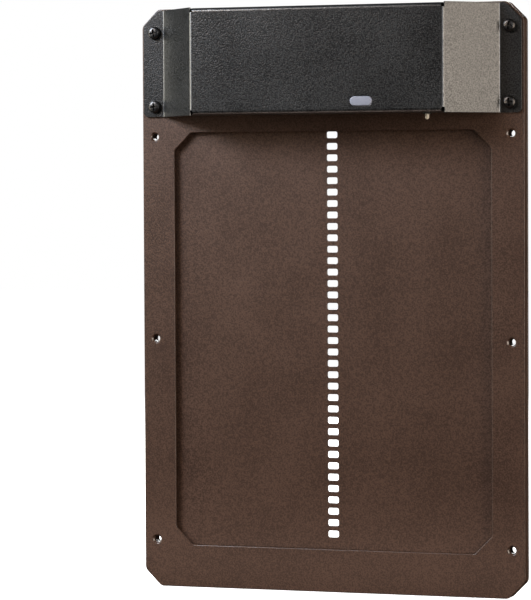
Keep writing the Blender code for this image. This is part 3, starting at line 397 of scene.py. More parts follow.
# Rear screws
# Small countersunk steel screws, blackened, that hold the rear sheet to the strips and the sill.
# Each head has a pressed cross recess and sits just under the sheet's face.
REAR_HEAD_RADIUS = 2.65 * MM
REAR_SHANK_RADIUS = 1.5 * MM
REAR_SCREW_LENGTH = 6 * MM
REAR_SCREW_SUNK = 0.1 * MM
REAR_RECESS_REACH = 1.5 * MM
REAR_RECESS_WIDTH = 0.7 * MM
REAR_RECESS_DEPTH = 1.1 * MM
REAR_TURN_SEED = 4
SCREW_SIDES = 32
MERGE_DISTANCE = 1e-7


def turned(profile, sides=SCREW_SIDES):
    """A solid turned about the y axis from (radius, depth) points."""
    bm = bmesh.new()
    verts = [bm.verts.new((radius, depth, 0)) for radius, depth in profile]
    edges = [bm.edges.new(pair) for pair in zip(verts, verts[1:])]
    bmesh.ops.spin(
        bm, geom=verts + edges, cent=(0, 0, 0), axis=(0, 1, 0), angle=math.tau, steps=sides, use_merge=True
    )
    bmesh.ops.remove_doubles(bm, verts=bm.verts[:], dist=MERGE_DISTANCE)
    bmesh.ops.recalc_face_normals(bm, faces=bm.faces[:])
    for face in bm.faces:
        face.smooth = True
    return bm


def lofted(rings, smooth=True):
    """A closed skin over rings of equal length, each a list of (x, y, z) points."""
    bm = bmesh.new()
    rims = [[bm.verts.new(point) for point in points] for points in rings]
    stitch(bm, rims, smooth)
    bm.faces.new(rims[0])
    bm.faces.new(rims[-1])
    bmesh.ops.recalc_face_normals(bm, faces=bm.faces[:])
    return bm


RECESS_MOUTH_SHARE = 1.1
RECESS_FOOT_SHARE = 0.45
RECESS_NARROWING = 0.4
RECESS_OVERRUN = 0.3 * MM


def cross_recess(reach, width, face, depth):
    """A cutter for a pressed cross: four tapered wings, from above the head's face to a small foot."""
    over = math.copysign(RECESS_OVERRUN, depth)
    rings = []
    for share, y in ((RECESS_MOUTH_SHARE, face - over), (RECESS_FOOT_SHARE, face + depth)):
        long = reach * share
        short = width * (1 - RECESS_NARROWING * (1 - share)) / 2
        points = []
        for wing in range(4):
            cos, sin = math.cos(wing * math.pi / 2), math.sin(wing * math.pi / 2)
            for x, z in ((long, -short), (long, short), (short, short)):
                points.append((x * cos - z * sin, y, x * sin + z * cos))
        rings.append(points)
    return lofted(rings, smooth=False)


def helper(name, bm):
    """An object that only helps to make a piece, and is removed again."""
    made = bpy.data.objects.new(name, mesh_of(name, bm))
    bpy.context.scene.collection.objects.link(made)
    return made


def baked(made):
    """A plain mesh of an object as its modifiers leave it."""
    graph = bpy.context.evaluated_depsgraph_get()
    return bpy.data.meshes.new_from_object(made.evaluated_get(graph), depsgraph=graph)


def taken_from(whole, cutter):
    """Cuts one helper out of another and keeps the result in the first."""
    modifier = whole.modifiers.new("recess", "BOOLEAN")
    modifier.operation = "DIFFERENCE"
    modifier.solver = "EXACT"
    modifier.object = cutter
    whole.data = baked(whole)
    whole.modifiers.clear()
    bpy.data.objects.remove(cutter)


def geometry_tree(name, inputs, output):
    """A new Geometry Nodes tree, its inputs' identifiers by name, and their sockets inside it."""
    tree = bpy.data.node_groups.new(name, "GeometryNodeTree")
    identifiers = {}
    for label, kind in inputs.items():
        socket = tree.interface.new_socket(label, in_out="INPUT", socket_type=kind)
        identifiers[label] = socket.identifier
    tree.interface.new_socket(output, in_out="OUTPUT", socket_type="NodeSocketGeometry")
    return tree, identifiers, put(tree, "NodeGroupInput", {}, {}).outputs


def made_by_tree(start, tree, identifiers, values):
    """The mesh that a Geometry Nodes tree makes from a helper. All helpers it is given are used up."""
    modifier = start.modifiers.new(tree.name, "NODES")
    modifier.node_group = tree
    for label, value in values.items():
        modifier[identifiers[label]] = value
    mesh = baked(start)
    for used in [start, *values.values()]:
        if isinstance(used, bpy.types.Object):
            bpy.data.objects.remove(used)
    return mesh


def fastener_tree():
    """Puts one fastener at every point it is given, each turned about its own axis at random."""
    tree, identifiers, given = geometry_tree(
        "fasteners at points",
        {
            "Points": "NodeSocketGeometry",
            "Fastener": "NodeSocketObject",
            "Turn seed": "NodeSocketInt",
            "Finish": "NodeSocketMaterial",
        },
        "Fasteners",
    )
    part = put(tree, "GeometryNodeObjectInfo", {}, {"Object": given["Fastener"]})
    turn = put(
        tree,
        "FunctionNodeRandomValue",
        {"data_type": "FLOAT"},
        {2: 0.0, 3: math.tau, "Seed": given["Turn seed"]},
    )
    axis = put(tree, "ShaderNodeCombineXYZ", {}, {"Y": turn.outputs[1]})
    rotation = put(tree, "FunctionNodeEulerToRotation", {}, {"Euler": axis.outputs[0]})
    placed = put(
        tree,
        "GeometryNodeInstanceOnPoints",
        {},
        {"Points": given["Points"], "Instance": part.outputs["Geometry"], "Rotation": rotation.outputs[0]},
    )
    real = put(tree, "GeometryNodeRealizeInstances", {}, {"Geometry": placed.outputs[0]})
    coloured = put(
        tree, "GeometryNodeSetMaterial", {}, {"Geometry": real.outputs[0], "Material": given["Finish"]}
    )
    put(tree, "NodeGroupOutput", {}, {"Fasteners": coloured.outputs[0]})
    return tree, identifiers


fastening = fastener_tree()


def fasteners(part, centres, seed, material):
    """A mesh of one helper, made on the y axis, repeated at the CAD fasteners' centres."""
    bm = bmesh.new()
    for centre in centres:
        bm.verts.new((centre.x, 0, centre.z))
    values = {"Fastener": part, "Turn seed": seed, "Finish": material}
    return made_by_tree(helper("places", bm), *fastening, values)


METAL_REACH = 0.15
METAL_ROUGHNESS_SPREAD = 0.06


def worn_metal(name, dark, light, grain, roughness, depth):
    """Bare or plated metal, drawn or rolled: fine streaks of tone and a slightly uneven gloss."""
    material, tree, shader, place = new_material(name)
    grit = put(
        tree, "ShaderNodeTexNoise", {}, {"Vector": place, "Scale": 1 / grain, "Detail": 4.0}
    ).outputs["Fac"]
    ramp = put(tree, "ShaderNodeValToRGB", {}, {"Fac": grit})
    positions = (0.5 - METAL_REACH, 0.5 + METAL_REACH)
    for stop, position, colour in zip(ramp.color_ramp.elements, positions, (dark, light)):
        stop.position = position
        stop.color = linear(colour)
    rougher = put(
        tree,
        "ShaderNodeMapRange",
        {},
        {
            "Value": grit,
            "To Min": roughness - METAL_ROUGHNESS_SPREAD,
            "To Max": roughness + METAL_ROUGHNESS_SPREAD,
        },
    )
    bump = put(tree, "ShaderNodeBump", {}, {"Height": grit, "Strength": 1.0, "Distance": depth})
    wire(
        tree,
        shader,
        {
            "Base Color": ramp.outputs["Color"],
            "Roughness": rougher.outputs["Result"],
            "Normal": bump.outputs["Normal"],
            "Metallic": 1.0,
        },
    )
    return material


# Black oxide on steel is a thin dark film: nearly black, with the metal's own clear highlights.
black_oxide = worn_metal(
    "black oxide steel", "#454342", "#5a5856", grain=0.5 * MM, roughness=0.38, depth=0.004 * MM
)

rear_face = rear_high.y - REAR_SCREW_SUNK
rear_neck = rear_face - REAR_HEAD_RADIUS + REAR_SHANK_RADIUS
rear_tip = rear_high.y - REAR_SCREW_LENGTH
rear_profile = [(0, rear_face), (REAR_HEAD_RADIUS, rear_face), (REAR_SHANK_RADIUS, rear_neck)]
rear_profile += [(REAR_SHANK_RADIUS, rear_tip), (0, rear_tip)]
rear_screw = helper("rear_screw", turned(rear_profile))
rear_recess = cross_recess(REAR_RECESS_REACH, REAR_RECESS_WIDTH, rear_face, -REAR_RECESS_DEPTH)
taken_from(rear_screw, helper("rear_recess", rear_recess))
rear_screws = fasteners(rear_screw, rear_screw_centres, REAR_TURN_SEED, black_oxide)
show_mesh("rear_screws", rear_screws, black_oxide, rear_screw_nodes, "frame")

# Door panel
# One flat sheet with a row of punched slots up the middle, which the drive's pinion climbs. It is
# coated as the frame is, and slides up in the gap between the strips' lips and the rear sheet.
panel_low, panel_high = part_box("door_panel")
PANEL_CORNER_RADIUS = 3 * MM
PANEL_EDGE = 0.3 * MM
SLOT_PITCH = 7.5 * MM
SLOT_COUNT = 45
SLOT_LOWEST = bottom_edge + 38 * MM
SLOT_WIDTH = 7.45 * MM
SLOT_HEIGHT = 4.3 * MM
SLOT_CORNER_RADIUS = 1.2 * MM
SLOT_ARC_STEPS = 6
PUNCH_OVERRUN = 0.05 * MM


def slot_punch():
    """A punch for one slot, flared at both faces by the rounding of the sheet's edges."""
    corners = box_corners(-SLOT_WIDTH / 2, SLOT_WIDTH / 2, -SLOT_HEIGHT / 2, SLOT_HEIGHT / 2)
    loop = rounded(corners, SLOT_CORNER_RADIUS, SLOT_ARC_STEPS)
    profile = edge_profile(panel_low.y, panel_high.y, PANEL_EDGE)
    for end, overrun in ((0, -PUNCH_OVERRUN), (-1, PUNCH_OVERRUN)):
        flare, depth = profile[end]
        profile[end] = (flare + PUNCH_OVERRUN, depth + overrun)
    return lofted([[(x, y, z) for x, z in moved_left(loop, -flare)] for flare, y in profile])


def rack_tree():
    """Punches a straight row of slots, one pitch apart, through the sheet it is given."""
    tree, identifiers, given = geometry_tree(
        "punched rack",
        {
            "Sheet": "NodeSocketGeometry",
            "Punch": "NodeSocketObject",
            "Slot count": "NodeSocketInt",
            "Slot pitch": "NodeSocketFloat",
            "Lowest slot": "NodeSocketFloat",
            "Finish": "NodeSocketMaterial",
        },
        "Rack",
    )
    start = put(tree, "ShaderNodeCombineXYZ", {}, {"Z": given["Lowest slot"]})
    step = put(tree, "ShaderNodeCombineXYZ", {}, {"Z": given["Slot pitch"]})
    row = put(
        tree,
        "GeometryNodeMeshLine",
        {},
        {"Count": given["Slot count"], "Start Location": start.outputs[0], "Offset": step.outputs[0]},
    )
    punch = put(tree, "GeometryNodeObjectInfo", {}, {"Object": given["Punch"]})
    punches = put(
        tree,
        "GeometryNodeInstanceOnPoints",
        {},
        {"Points": row.outputs[0], "Instance": punch.outputs["Geometry"]},
    )
    punched = put(
        tree,
        "GeometryNodeMeshBoolean",
        {"operation": "DIFFERENCE", "solver": "EXACT"},
        {"Mesh 1": given["Sheet"], "Mesh 2": punches.outputs[0]},
    )
    real = put(tree, "GeometryNodeRealizeInstances", {}, {"Geometry": punched.outputs[0]})
    coloured = put(
        tree, "GeometryNodeSetMaterial", {}, {"Geometry": real.outputs[0], "Material": given["Finish"]}
    )
    put(tree, "NodeGroupOutput", {}, {"Rack": coloured.outputs[0]})
    return tree, identifiers


panel_corners = box_corners(panel_low.x, panel_high.x, panel_low.z, panel_high.z)
panel_profile = edge_profile(panel_low.y, panel_high.y, PANEL_EDGE)
panel_blank = cut_sheet([(rounded(panel_corners, PANEL_CORNER_RADIUS), panel_profile)])
rack_values = {
    "Punch": helper("slot_punch", slot_punch()),
    "Slot count": SLOT_COUNT,
    "Slot pitch": SLOT_PITCH,
    "Lowest slot": SLOT_LOWEST,
    "Finish": brown_coat,
}
panel_mesh = made_by_tree(helper("panel_blank", panel_blank), *rack_tree(), rack_values)
show_mesh("slotted_panel", panel_mesh, brown_coat, ["door_panel"], "door")

# Drive
# A gearmotor, its bracket, the shafts, bushes and gears under the hood. Steel is zinc plated, the
# gearbox, bushes and small gear are brass, and the pinion and large gear are moulded nylon.


def moulding(name, dark, light, grain, roughness, depth):
    """Moulded plastic or rubber: even colour with a fine spark-eroded grain from the mould."""
    material, tree, shader, place = new_material(name)
    grit = put(
        tree, "ShaderNodeTexNoise", {}, {"Vector": place, "Scale": 1 / grain, "Detail": 2.0}
    ).outputs["Fac"]
    tone = put(
        tree, "ShaderNodeMix", {"data_type": "RGBA"}, {"Factor": grit, 6: linear(dark), 7: linear(light)}
    )
    bump = put(tree, "ShaderNodeBump", {}, {"Height": grit, "Strength": 1.0, "Distance": depth})
    wire(
        tree,
        shader,
        {"Base Color": tone.outputs[2], "Roughness": roughness, "Normal": bump.outputs["Normal"]},
    )
    return material


# Zinc plate is a light grey metal with a soft, slightly cloudy shine.
zinc_plate = worn_metal(
    "zinc plated steel", "#a9a9a6", "#c9c9c5", grain=1.5 * MM, roughness=0.36, depth=0.003 * MM
)
# Machined brass is yellow and bright, with clear highlights.
brass = worn_metal("machined brass", "#c59a4d", "#dbb469", grain=0.8 * MM, roughness=0.3, depth=0.003 * MM)
# Natural nylon is a warm off-white with a satin face.
nylon = moulding("moulded nylon", "#d8d5cb", "#e6e3da", grain=0.6 * MM, roughness=0.45, depth=0.01 * MM)
dress(zinc_plate, ["drive_bracket", "drive_shaft", "motor_shaft", "motor_can"])
dress(zinc_plate, numbered("bracket_screw", BRACKET_SCREW_COUNT))
dress(brass, ["left_shaft_bush", "right_shaft_bush", "motor_gear", "motor_gearbox"])
dress(nylon, ["drive_pinion", "drive_gear"])

# Batteries
# Two AA cells in an open moulded tray, with plated contacts and springs, screwed to the front sheet.
# The cells have a plain shrink-sleeve label.

# Black ABS from a spark-eroded mould is dark grey and half matt.
black_plastic = moulding("black ABS", "#1c1c1d", "#262627", grain=0.5 * MM, roughness=0.42, depth=0.012 * MM)
# A shrink sleeve is smooth and dark, with long clear highlights along the cell.
cell_sleeve = moulding("cell sleeve", "#2c2e30", "#3a3c3f", grain=4 * MM, roughness=0.3, depth=0.004 * MM)
CELL_COUNT = 2
dress(black_plastic, ["battery_holder"])
dress(cell_sleeve, numbered("aa_cell", CELL_COUNT))
for kind in ("battery_contact", "battery_spring"):
    dress(zinc_plate, numbered(kind, CELL_COUNT))
dress(zinc_plate, numbered("holder_screw", HOLDER_SCREW_COUNT))

# Circuit board
# A glass-fibre board on two posts, with a plated radio can, a controller, a push switch and a lamp.
# Its leads have soft sleeves.

# Solder mask is a thin lacquer: a deep, even green with a clear gloss.
solder_mask = moulding(
    "green solder mask", "#124a2c", "#1a5c38", grain=2 * MM, roughness=0.3, depth=0.01 * MM
)
# A lead's soft sleeve is even in colour, with a dull gloss.
red_sleeve = moulding("red lead sleeve", "#a3191b", "#b42426", grain=1 * MM, roughness=0.42, depth=0.006 * MM)
# Milky acrylic scatters light inside it, so it looks pale and even, with a smooth gloss.
milky_plastic = moulding(
    "milky acrylic", "#878994", "#93959f", grain=3 * MM, roughness=0.28, depth=0.003 * MM
)
POST_COUNT = 2
dress(solder_mask, ["circuit_board"])
dress(zinc_plate, ["radio_module"])
dress(zinc_plate, numbered("board_post", POST_COUNT) + numbered("board_screw", POST_COUNT))
dress(black_plastic, ["control_chip", "push_switch", "battery_lead_2", "motor_lead_2"])
dress(red_sleeve, ["battery_lead_1", "motor_lead_1"])
dress(milky_plastic, ["status_led"])
dress(nylon, ["switch_plunger"])

# Push button
# A milky acrylic cap with round ends, pressed through a slot in the hood. A flange behind the hood
# keeps it in, and a stem reaches the switch on the board.
button_low, button_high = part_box("button_cap")
button_centre = centre_of("button_cap")
GAP = 0.3 * MM
HOOD_SHEET = 1.2 * MM
BUTTON_PROUD = 0.5 * MM
BUTTON_FLANGE = 1.4 * MM
BUTTON_FLANGE_THICKNESS = 0.8 * MM
BUTTON_EDGE = 0.45 * MM
BUTTON_EDGE_STEPS = 4
BUTTON_CROWN = 0.12 * MM
BUTTON_CROWN_SHARE = 0.35
BUTTON_STEM_RADIUS = 1.5 * MM
BUTTON_END_STEPS = 16
SOFT_CREASE = 50


def round_ended(width, height):
    """A slot outline around the origin, with half-round ends."""
    reach = (width - height) / 2
    points = []
    for side, start in ((1, -math.pi / 2), (-1, math.pi / 2)):
        angles = [start + math.pi * step / BUTTON_END_STEPS for step in range(BUTTON_END_STEPS + 1)]
        points += [(side * reach + height / 2 * math.cos(a), height / 2 * math.sin(a)) for a in angles]
    return points


cap_width = button_high.x - button_low.x - 2 * BUTTON_FLANGE
cap_height = button_high.z - button_low.z - 2 * BUTTON_FLANGE
cap_loop = round_ended(cap_width, cap_height)
flange_loop = moved_left(cap_loop, -BUTTON_FLANGE)
stem_loop = []
for x, z in cap_loop:
    shrink = BUTTON_STEM_RADIUS / math.hypot(x, z)
    stem_loop.append((x * shrink, z * shrink))
button_flange_front = button_low.y + BUTTON_PROUD + HOOD_SHEET + GAP
button_flange_back = button_flange_front + BUTTON_FLANGE_THICKNESS + GAP
levels = [(moved_left(cap_loop, cap_height * BUTTON_CROWN_SHARE), button_low.y)]
for a in quarter_turn(BUTTON_EDGE_STEPS):
    depth = button_low.y + BUTTON_CROWN + (BUTTON_EDGE - BUTTON_CROWN) * (1 - math.cos(a))
    levels.append((moved_left(cap_loop, BUTTON_EDGE * (1 - math.sin(a))), depth))
levels += [
    (cap_loop, button_flange_front),
    (flange_loop, button_flange_front),
    (flange_loop, button_flange_back),
    (stem_loop, button_flange_back),
    (stem_loop, button_high.y),
]
cap = lofted([[(button_centre.x + x, y, button_centre.z + z) for x, z in loop] for loop, y in levels])
show("push_button", cap, milky_plastic, ["button_cap"], "button", SOFT_CREASE)

# Light sensor
# A photodiode cast in tinted epoxy, with a domed end. It hangs from the board's edge through a
# rubber grommet in the hood's bottom wall.
sensor_low, sensor_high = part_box("light_sensor")
sensor_x, sensor_y = centre_of("light_sensor").xy
sensor_radius = (sensor_high.x - sensor_low.x) / 2
SENSOR_DOME_STEPS = 8


def upright(bm):
    """Stands a piece turned about y upright, its depth becoming its height, at the sensor's place."""
    bmesh.ops.rotate(bm, verts=bm.verts[:], matrix=Matrix.Rotation(math.pi / 2, 3, "X"))
    bmesh.ops.translate(bm, verts=bm.verts[:], vec=(sensor_x, sensor_y, 0))
    return bm


# Cast epoxy with a faint warm tint is pale and very smooth, with one sharp highlight.
tinted_epoxy = moulding("tinted epoxy", "#cfc4b0", "#ddd3c0", grain=1.5 * MM, roughness=0.2, depth=0.002 * MM)
lens = []
for a in quarter_turn(SENSOR_DOME_STEPS):
    lens.append((sensor_radius * math.sin(a), sensor_low.z + sensor_radius * (1 - math.cos(a))))
lens += [(sensor_radius, sensor_high.z), (0, sensor_high.z)]
photodiode = upright(turned(lens))
show("photodiode", photodiode, tinted_epoxy, ["light_sensor"], "frame", SOFT_CREASE)

grommet_low, grommet_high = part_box("sensor_grommet")
grommet_radius = (grommet_high.x - grommet_low.x) / 2
GROMMET_BORE = 1.65 * MM
GROMMET_NECK = 2.3 * MM
GROMMET_LIP = 0.5 * MM
GROMMET_LIP_STEPS = 6


def grommet_lip(height):
    """The half-round rim of a lip that starts at a height, from its lower side to its upper side."""
    soft = GROMMET_LIP / 2
    points = []
    for step in range(GROMMET_LIP_STEPS + 1):
        a = math.pi * step / GROMMET_LIP_STEPS - math.pi / 2
        points.append((grommet_radius - soft + soft * math.cos(a), height + soft + soft * math.sin(a)))
    return points


# Moulded rubber is black and dull, and shows no clear highlight.
black_rubber = moulding(
    "moulded rubber", "#151515", "#1f1f1f", grain=0.8 * MM, roughness=0.7, depth=0.01 * MM
)
neck_low, neck_high = grommet_low.z + GROMMET_LIP, grommet_high.z - GROMMET_LIP
section = [(GROMMET_BORE, grommet_high.z), (GROMMET_BORE, grommet_low.z)]
section += grommet_lip(grommet_low.z)
section += [(GROMMET_NECK, neck_low), (GROMMET_NECK, neck_high)]
section += grommet_lip(neck_high)
section.append(section[0])
grommet = upright(turned(section))
show("grommet", grommet, black_rubber, ["sensor_grommet"], "frame", SOFT_CREASE)

# Hood
# One sheet, cut flat and folded: front, sloped sides and flanges in one strip, with a wall folded in
# along the top and the bottom. Small relief cuts at the front's corners let the bends meet. It has a
# black powder coat with a leathery texture, and four screws hold its flanges to the frame.
hood_low, hood_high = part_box("hood_cover")
hood_half = (hood_high.z - hood_low.z) / 2
hood_middle = centre_of("hood_cover").z
flange_front = frame_low.y - GAP - HOOD_SHEET
hood_screw_nodes = numbered("hood_screw", HOOD_SCREW_COUNT)
hood_screw_centres = [centre_of(node) for node in hood_screw_nodes]
FRONT_WIDTH = 172.2 * MM
FOOT_WIDTH = 231.4 * MM
BEND_RADIUS = 2.6 * MM
BEND_STEPS = 10
BEND_MARGIN = 1e-7
SPLIT_DISTANCE = 1e-8
# The top bend gets a weaker painted highlight than the bends beside the front
TOP_BEND_HIGHLIGHT_SHARE = 0.4
RELIEF = 0.2 * MM
WALL_INSET = 0.5 * MM
HOOD_CHAMFER = FRAME_CHAMFER - 0.8 * MM
LOWER_CORNER_RADIUS = 3 * MM
HOOD_EDGE = 0.25 * MM
HOOD_CREASE = 40
BUTTON_HOLE = (15.6 * MM, 6.5 * MM)


def folded_path(corners, radii):
    """A folded line as (distance along it, point, inward offset), with its inner corners rounded."""
    points = [corners[0]]
    for index, radius in enumerate(radii, 1):
        points += corner_arc(corners[index - 1], corners[index], corners[index + 1], radius, BEND_STEPS)
    points.append(corners[-1])
    distances, sides = [0.0], []
    for a, b in zip(points, points[1:]):
        distances.append(distances[-1] + math.dist(a, b))
        sides.append(Vector((a[1] - b[1], b[0] - a[0])).normalized())
    across = [a + b for a, b in zip(sides[:1] + sides, sides + sides[-1:])]
    offsets = [v * (2 / v.length_squared) for v in across]
    return list(zip(distances, [Vector(p) for p in points], offsets))


def on_path(path, distance, depth):
    """The place at a distance along a folded line, and at a depth into the sheet."""
    for (start, a, inward_a), (end, b, inward_b) in zip(path, path[1:]):
        if distance <= end or end == path[-1][0]:
            share = (distance - start) / (end - start)
            return (a + inward_a * depth).lerp(b + inward_b * depth, share)


wall_height = hood_half - WALL_INSET
wall_end = frame_low.y - 2 * GAP
front_to_flange = [(0, hood_low.y), (FRONT_WIDTH / 2, hood_low.y)]
front_to_flange += [(FOOT_WIDTH / 2, flange_front), (hood_high.x, flange_front)]
front_to_wall = [(0, hood_low.y), (wall_height, hood_low.y), (wall_height, wall_end)]
sideways = folded_path(front_to_flange, (BEND_RADIUS, BEND_RADIUS - HOOD_SHEET))
inwards = folded_path(front_to_wall, (BEND_RADIUS,))


def blank_outline():
    """The flat blank's outline: one half drawn from the top edge down, the other its mirror image."""
    bend_start, bend_end = sideways[1][0], sideways[1 + BEND_STEPS][0]
    width = sideways[-1][0]
    wall_bend, wall_start, wall_edge = inwards[1][0], inwards[1 + BEND_STEPS][0], inwards[-1][0]
    flare = (FOOT_WIDTH - FRONT_WIDTH) / 2 / (flange_front - hood_low.y)
    upper = [
        (bend_start - RELIEF + flare * (wall_edge - wall_start), wall_edge),
        (bend_start - RELIEF, wall_start),
        (bend_start - RELIEF, wall_bend - RELIEF),
        (bend_end + RELIEF, wall_bend - RELIEF),
        (bend_end + RELIEF, hood_half),
    ]
    before = (width - HOOD_CHAMFER, hood_half)
    corner = (width, hood_half - HOOD_CHAMFER)
    foot = (width, -hood_half)
    flange = corner_arc(upper[-1], before, corner, FRAME_CORNER_RADIUS)
    flange += corner_arc(before, corner, foot, FRAME_CORNER_RADIUS)
    flange += corner_arc(corner, foot, (0, -hood_half), LOWER_CORNER_RADIUS)
    half = upper + flange + [(u, -v) for u, v in reversed(upper)]
    return [(-u, v) for u, v in half] + half[::-1]


def hood_blank():
    """The blank with its holes, as a flat sheet in (along, depth, up)."""
    profile = edge_profile(0, HOOD_SHEET, HOOD_EDGE)
    wall_start, wall_place, _ = inwards[1 + BEND_STEPS]
    sensor_v = -(wall_start + sensor_y - wall_place.y)
    button_hole = []
    for x, z in round_ended(*BUTTON_HOLE):
        button_hole.append((x + button_centre.x, z + button_centre.z - hood_middle))
    cuts = [(blank_outline(), profile), (button_hole, profile)]
    cuts.append((ring(sensor_x, sensor_v, GROMMET_NECK + GAP), profile))
    for centre in hood_screw_centres:
        u = sideways[-1][0] - (hood_high.x - abs(centre.x))
        screw_hole = ring(math.copysign(u, centre.x), centre.z - hood_middle, HOOD_SCREW_HOLE_RADIUS)
        cuts.append((screw_hole, profile))
    return cut_sheet(cuts)


def in_bend(path, distance):
    """1 on the curved part of a folded line, 0 on its flats."""
    for start in range(1, len(path) - 1, 1 + BEND_STEPS):
        if path[start][0] + BEND_MARGIN < distance < path[start + BEND_STEPS][0] - BEND_MARGIN:
            return 1.0
    return 0.0


def fold(bm):
    """Splits the blank along its bend lines, marks the bends that get a painted highlight and folds it.

    The bends beside the front get the painted highlight, the one above it gets less, and the one below gets
    none.
    """
    for path, normal in ((sideways, Vector((1, 0, 0))), (inwards, Vector((0, 0, 1)))):
        for distance, _, _ in path[1:-1]:
            for side in (-1, 1):
                everything = bm.verts[:] + bm.edges[:] + bm.faces[:]
                place = normal * (side * distance)
                bmesh.ops.bisect_plane(
                    bm, geom=everything, dist=SPLIT_DISTANCE, plane_co=place, plane_no=normal
                )
    front_edge = sideways[1][0]
    # Marks the bends that get lower bumps and a painted highlight
    bend_highlight = bm.verts.layers.float.new("bend")
    for vert in bm.verts:
        u, depth, v = vert.co
        if abs(u) < front_edge or abs(v) > hood_half + RELIEF / 2:
            vert[bend_highlight] = TOP_BEND_HIGHLIGHT_SHARE * in_bend(inwards, v)
            height, y = on_path(inwards, abs(v), depth)
            vert.co = (u, y, hood_middle + math.copysign(height, v))
        else:
            vert[bend_highlight] = in_bend(sideways, abs(u))
            across, y = on_path(sideways, abs(u), depth)
            vert.co = (math.copysign(across, u), y, hood_middle + v)
    for made in bm.faces:
        made.smooth = True
    bmesh.ops.recalc_face_normals(bm, faces=bm.faces[:])
    return bm


# Textured powder coat that draws into leathery wrinkles as it melts: deep black in shade, and grey
# with a fine bright grain where a light glances off it. The wrinkles are drawn coarser, to show.
leather_coat = powder_coat(
    "black leather powder coat",
    "#040404",
    "#2b2b2a",
    reach=0.15,
    grain=0.9 * MM,
    depth=0.13 * MM,
    roughness=0.31,
    sheen=0.64,
)
folded_hood = fold(hood_blank())
hood = show("hood_shell", folded_hood, leather_coat, ["hood_cover"], "frame", HOOD_CREASE)
flats = hood.modifiers.new("flat faces stay flat", "WEIGHTED_NORMAL")
flats.keep_sharp = True

# Hood screws
# Black pan-head machine screws with a pressed cross recess, two through each flange into the frame.
# Black oxide steel, as the rear screws are.
screw_low, screw_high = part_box("hood_screw_1")
HEAD_RADIUS = 4.2 * MM
HEAD_HEIGHT = 2.9 * MM
HEAD_RIM = 0.9 * MM
HEAD_ROUNDNESS = 0.55
HEAD_EDGE = 0.15 * MM
HEAD_SIDES = 48
CROWN_STEPS = 8
SHANK_RADIUS = 2 * MM
RECESS_REACH = 2.9 * MM
RECESS_WIDTH = 1.2 * MM
RECESS_DEPTH = 1.7 * MM
HOOD_TURN_SEED = 2
SCREW_CREASE = 35
seat = screw_low.y + HEAD_HEIGHT
crown_height = HEAD_HEIGHT - HEAD_RIM
pan = []
for a in quarter_turn(CROWN_STEPS):
    pan.append((HEAD_RADIUS * math.sin(a) ** HEAD_ROUNDNESS, seat - HEAD_RIM - crown_height * math.cos(a)))
pan += [(HEAD_RADIUS, seat - HEAD_EDGE), (HEAD_RADIUS - HEAD_EDGE, seat), (SHANK_RADIUS, seat)]
pan += [(SHANK_RADIUS, screw_high.y), (0, screw_high.y)]
hood_screw = helper("hood_screw", turned(pan, HEAD_SIDES))
hood_recess = cross_recess(RECESS_REACH, RECESS_WIDTH, screw_low.y, RECESS_DEPTH)
taken_from(hood_screw, helper("hood_recess", hood_recess))
hood_screws = fasteners(hood_screw, hood_screw_centres, HOOD_TURN_SEED, black_oxide)
show_mesh(
    "hood_screws", hood_screws, black_oxide, hood_screw_nodes, "frame", SCREW_CREASE
)

# Studio
# White paper under the door, which only the camera sees, in a white surround. Softboxes above left
# and at both sides light it, with a fill from the front, one behind, and low ones for the table's glow.
FLOOR_REACH = 6.0
FLOOR_DROP = 0.3 * MM
SURROUND_FILL = 0.006
WHITE = (1, 1, 1, 1)
LIGHT_AIM = Vector((0, 0, 0.2))
floor_mesh = bpy.data.meshes.new("floor")
floor_corners = box_corners(-FLOOR_REACH, FLOOR_REACH, -FLOOR_REACH, FLOOR_REACH)
floor_mesh.from_pydata([(x, y, bottom_edge - FLOOR_DROP) for x, y in floor_corners], [], [(0, 1, 2, 3)])
floor = bpy.data.objects.new("floor", floor_mesh)
bpy.context.scene.collection.objects.link(floor)
floor.visible_diffuse = False
floor.visible_glossy = False
# White paper, lit until it shows no shade, so that the door stands on plain white.
paper, paper_tree, paper_shader, _ = new_material("white paper")
wire(
    paper_tree,
    paper_shader,
    {
        "Base Color": linear("#f4f4f4"),
        "Roughness": 0.9,
        "Emission Color": WHITE,
        "Emission Strength": 1.0,
    },
)
floor_mesh.materials.append(paper)

surround = bpy.data.worlds.new("white surround")
surround.use_nodes = True
sky = surround.node_tree
sky.nodes.clear()
ray = put(sky, "ShaderNodeLightPath", {}, {})
fill = put(sky, "ShaderNodeBackground", {}, {"Color": WHITE, "Strength": SURROUND_FILL})
white = put(sky, "ShaderNodeBackground", {}, {"Color": WHITE, "Strength": 1.0})
seen = put(
    sky,
    "ShaderNodeMixShader",
    {},
    {0: ray.outputs["Is Camera Ray"], 1: fill.outputs[0], 2: white.outputs[0]},
)
put(sky, "ShaderNodeOutputWorld", {}, {"Surface": seen.outputs[0]})
bpy.context.scene.world = surround


def softbox(name, place, size, power, colour):
    """A soft rectangular light, turned towards the door and hidden from the camera."""
    lamp = bpy.data.lights.new(name, "AREA")
    lamp.shape = "RECTANGLE"
    lamp.size, lamp.size_y = size
    lamp.energy = power
    lamp.color = linear(colour)[:3]
    holder = bpy.data.objects.new(name, lamp)
    holder.location = place
    holder.rotation_euler = (LIGHT_AIM - holder.location).to_track_quat("-Z", "Y").to_euler()
    holder.visible_camera = False
    bpy.context.scene.collection.objects.link(holder)
    return holder


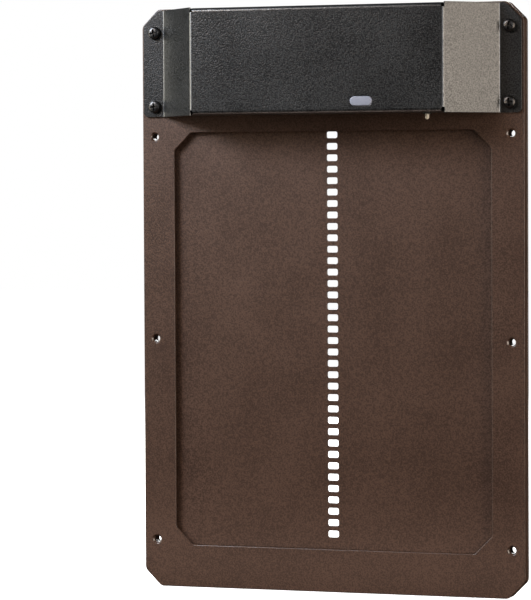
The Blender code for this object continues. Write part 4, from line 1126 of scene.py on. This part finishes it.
# The two above left cast the hood's shadow, and the pair at each side gives the slopes and bends
# their sheen.
softbox("near softbox", place=(-0.5, -0.4, 0.65), size=(0.25, 0.25), power=7.7, colour="#dcecff")
softbox("far softbox", place=(-0.6, -0.8, 0.8), size=(0.4, 0.4), power=5.3, colour="#ffe9d8")
softbox("left softbox", place=(-0.95, -0.31, 0.36), size=(0.5, 0.8), power=4.3, colour="#fff9e7")
softbox("left strip", place=(-0.85, -0.7, 0.34), size=(0.05, 0.25), power=0.2, colour="#ffffff")
softbox("right softbox", place=(0.95, -0.31, 0.28), size=(0.5, 0.8), power=7.6, colour="#fff1e1")
softbox("right strip", place=(0.75, -0.85, 0.34), size=(0.05, 0.25), power=0.6, colour="#fff8f0")
softbox("front fill", place=(0.9, -1.8, 0.7), size=(0.8, 0.8), power=3.5, colour="#f4f8ff")
rear_softbox = softbox("rear softbox", place=(-0.5, 1.5, 1.0), size=(1, 1), power=30, colour="#ffffff")
softbox("table bounce", place=(0, -0.15, -0.012), size=(0.5, 0.05), power=0.06, colour="#ffd2bc")
table_glow = softbox("table glow", place=(0, -0.03, -0.012), size=(0.5, 0.03), power=0.35, colour="#ffe4d8")

# The glow off the table reaches only the hood, whose lower bend it draws as a thin light line. The
# light behind the door leaves the hood out, so that its top edge stays dark.
for light, state in ((table_glow, "INCLUDE"), (rear_softbox, "EXCLUDE")):
    lit = bpy.data.collections.new(light.name)
    lit.objects.link(hood)
    lit.collection_objects[0].light_linking.link_state = state
    light.light_linking.receiver_collection = lit

# Camera
# A long lens about two metres away, a little to the right of the door and just above its middle.
# Its place and turn are fitted to the slots, the opening, the holes and the hood's corners.
CAMERA_PLACE = Vector((0.6826, -2.0478, 0.2509))
CAMERA_YAW = math.radians(19.65)
CAMERA_PITCH = math.radians(-1.93)
CAMERA_ROLL = math.radians(-0.28)
IMAGE_HEIGHT = 600
FOCAL_PIXELS = 3280.2
SENSOR_HEIGHT = 36
lens_data = bpy.data.cameras.new("camera")
lens_data.sensor_fit = "VERTICAL"
lens_data.sensor_height = SENSOR_HEIGHT
lens_data.lens = FOCAL_PIXELS / IMAGE_HEIGHT * SENSOR_HEIGHT
camera = bpy.data.objects.new("camera", lens_data)
turn = Matrix.Rotation(CAMERA_YAW, 4, "Z") @ Matrix.Rotation(math.pi / 2 + CAMERA_PITCH, 4, "X")
camera.matrix_world = Matrix.Translation(CAMERA_PLACE) @ turn @ Matrix.Rotation(CAMERA_ROLL, 4, "Z")
bpy.context.scene.collection.objects.link(camera)
bpy.context.scene.camera = camera
bpy.context.scene.view_settings.view_transform = "Standard"
